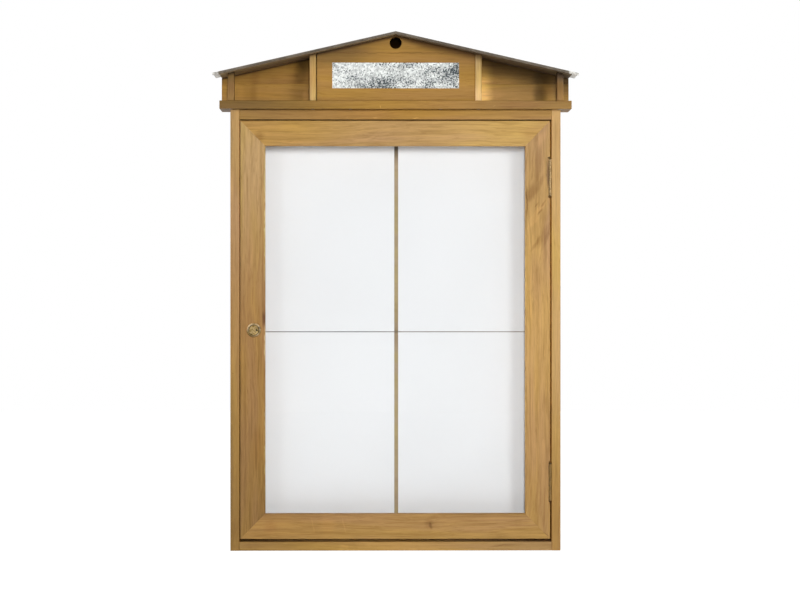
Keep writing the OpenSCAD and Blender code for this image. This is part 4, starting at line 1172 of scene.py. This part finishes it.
upper_brass = brass_material(
    "upper_hinge_brass", (196, 166, 118), (124, 96, 58), tarnish=0.7, roughness=0.34,
    # Painted shadow beside the knuckle and at both ends of the mortise.
    marks=[
        (236.9, 237.5, 1.9, 60, 0, (0.40, 0.36, 0.30), 1.0),
        (239.5, 267.6, 5, 2.6, 0, PAINTED_DEEP_SHADOW, 1.0),
        (239.5, 206.8, 5, 2.4, 0, PAINTED_DEEP_SHADOW, 1.0),
    ],
)
lower_brass = brass_material(
    "lower_hinge_brass", (160, 128, 76), (104, 78, 42), tarnish=0.6, roughness=0.38,
    # Painted shadow at the end of the mortise.
    marks=[(240, -205.2, 5, 2.8, 0, PAINTED_DEEP_SHADOW, 1.0)],
)
lock_brass = brass_material(
    "lock_brass", (250, 226, 182), (224, 194, 140), tarnish=0.5, roughness=0.24, metal=1.0,
    patches=90, seam=0.8,
    # Painted shade on the flange's ring, darkest at its lower left.
    marks=[
        (-226, -6, 8, 9, 0, (0.42, 0.38, 0.26), 1.0),
        (-217, -11, 8, 4, 0, (0.60, 0.54, 0.42), 1.0),
        (-210, -4, 4, 5, 0, (0.55, 0.50, 0.38), 1.0),
        (-219.5, 11, 3, 3, 0, (0.70, 0.66, 0.56), 1.0),
        (-210.4, 4.2, 2.8, 2.8, 0, (0.50, 0.50, 0.55), 1.0),
    ],
)
plug_face_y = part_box("lock_plug")[0].y
plug_brass = brass_material(
    "plug_brass", (204, 176, 120), (150, 120, 66), tarnish=1.0, roughness=0.24, metal=0.5, seam=0.8,
    marks=[
        (-215.9, 5.5, 2.6, 1.2, 20, (1.65, 1.70, 1.75), 1.0),
        (-214.4, -3.6, 1.6, 2.6, 0, (1.65, 1.70, 1.75), 1.0),
        (-218.0, -5.6, 3.0, 1.6, 0, (1.60, 1.65, 1.70), 1.0),
        (-223.6, 2.8, 1.8, 1.8, 0, (1.30, 1.35, 1.35), 1.0),
        # Painted shade over the keyhole.
        (-215.1, 0.0, 1.9, 1.6, 0, (0.16, 0.12, 0.06), 1.0),
    ],
    dark_past=plug_face_y + 0.5 * MM,
)
screw_brass = brass_material(
    "screw_brass", (190, 158, 96), (128, 98, 52), tarnish=0.6, roughness=0.35,
)

# Radii of the flange's slope, which is 1.2 mm high and so lies at 45 degrees
RIM_TOP, RIM_FOOT = 9.8 * MM, 11.0 * MM


def lay_over_rim(bm):
    """Moves the rings of corners on the flange's outer slope, so that it is straight."""
    rings = {}
    for vertex in bm.verts:
        across = math.hypot(vertex.co.x - LOCK_AXIS.x, vertex.co.z - LOCK_AXIS.z)
        proud = FRONT_Y - vertex.co.y
        if across > 9.9 * MM and proud > 0.7 * MM:
            rings.setdefault(round(proud / MM, 1), []).append((vertex, across))
    for step, proud in enumerate(sorted(rings, reverse=True)):
        radius = RIM_TOP + (RIM_FOOT - RIM_TOP) * step / (len(rings) - 1)
        for vertex, across in rings[proud]:
            vertex.co.x = LOCK_AXIS.x + (vertex.co.x - LOCK_AXIS.x) * radius / across
            vertex.co.z = LOCK_AXIS.z + (vertex.co.z - LOCK_AXIS.z) * radius / across
        print(f"ring {proud} mm proud: {len(rings[proud])} corners, radius {radius / MM:.2f} mm")


FITTINGS = []
for level, metal in (("upper", upper_brass), ("lower", lower_brass)):
    FITTINGS += [
        (f"hinge_leaf_case_{level}", f"{level}_case_leaf", metal, "brass"),
        (f"hinge_leaf_door_{level}", f"{level}_door_leaf", metal, "brass"),
        (f"hinge_pin_{level}", f"{level}_pin", metal, "brass"),
    ]
FITTINGS += [
    ("lock_body", "lock_barrel", lock_brass, "brass"),
    ("lock_plug", "key_plug", plug_brass, "brass"),
    ("lock_nut", "barrel_nut", lock_brass, "brass"),
    ("lock_keep", "cam_keep", lock_brass, "brass"),
    ("lock_cam", "cam_arm", plain_zinc, "zinc"),
]
for node, name, metal, slot in FITTINGS:
    if node == "lock_body":
        bm = cad_bmesh(node)
        lay_over_rim(bm)
        ease(bm, FILED_FLANGE, shortest=0.05 * MM)
        finish_piece(bm, name, metal, [node])
    else:
        eased_piece(node, name, metal, width=FILED)
print(len(FITTINGS), "fittings")

# %% [markdown]
# ## Fasteners
#
# The screws, nails and pins are true to size in the solids, slots included. They are small and mostly
# hidden, so they aren't eased: they stay as they are and only take a material.

# %% Fastener materials
FASTENERS = {
    screw_brass: ["case_screws", "hinge_screws_case", "hinge_screws_door", "keep_screws"],
    plain_zinc: ["plate_pins", "roof_nails", "back_panel_nails", "ledge_screws", "gable_screws",
                 "bead_pins", "cam_screw"],
}
for metal, nodes in FASTENERS.items():
    for node in nodes:
        for slot in NODES[node].material_slots:
            slot.material = metal
print(sum(len(nodes) for nodes in FASTENERS.values()), "groups of fasteners")
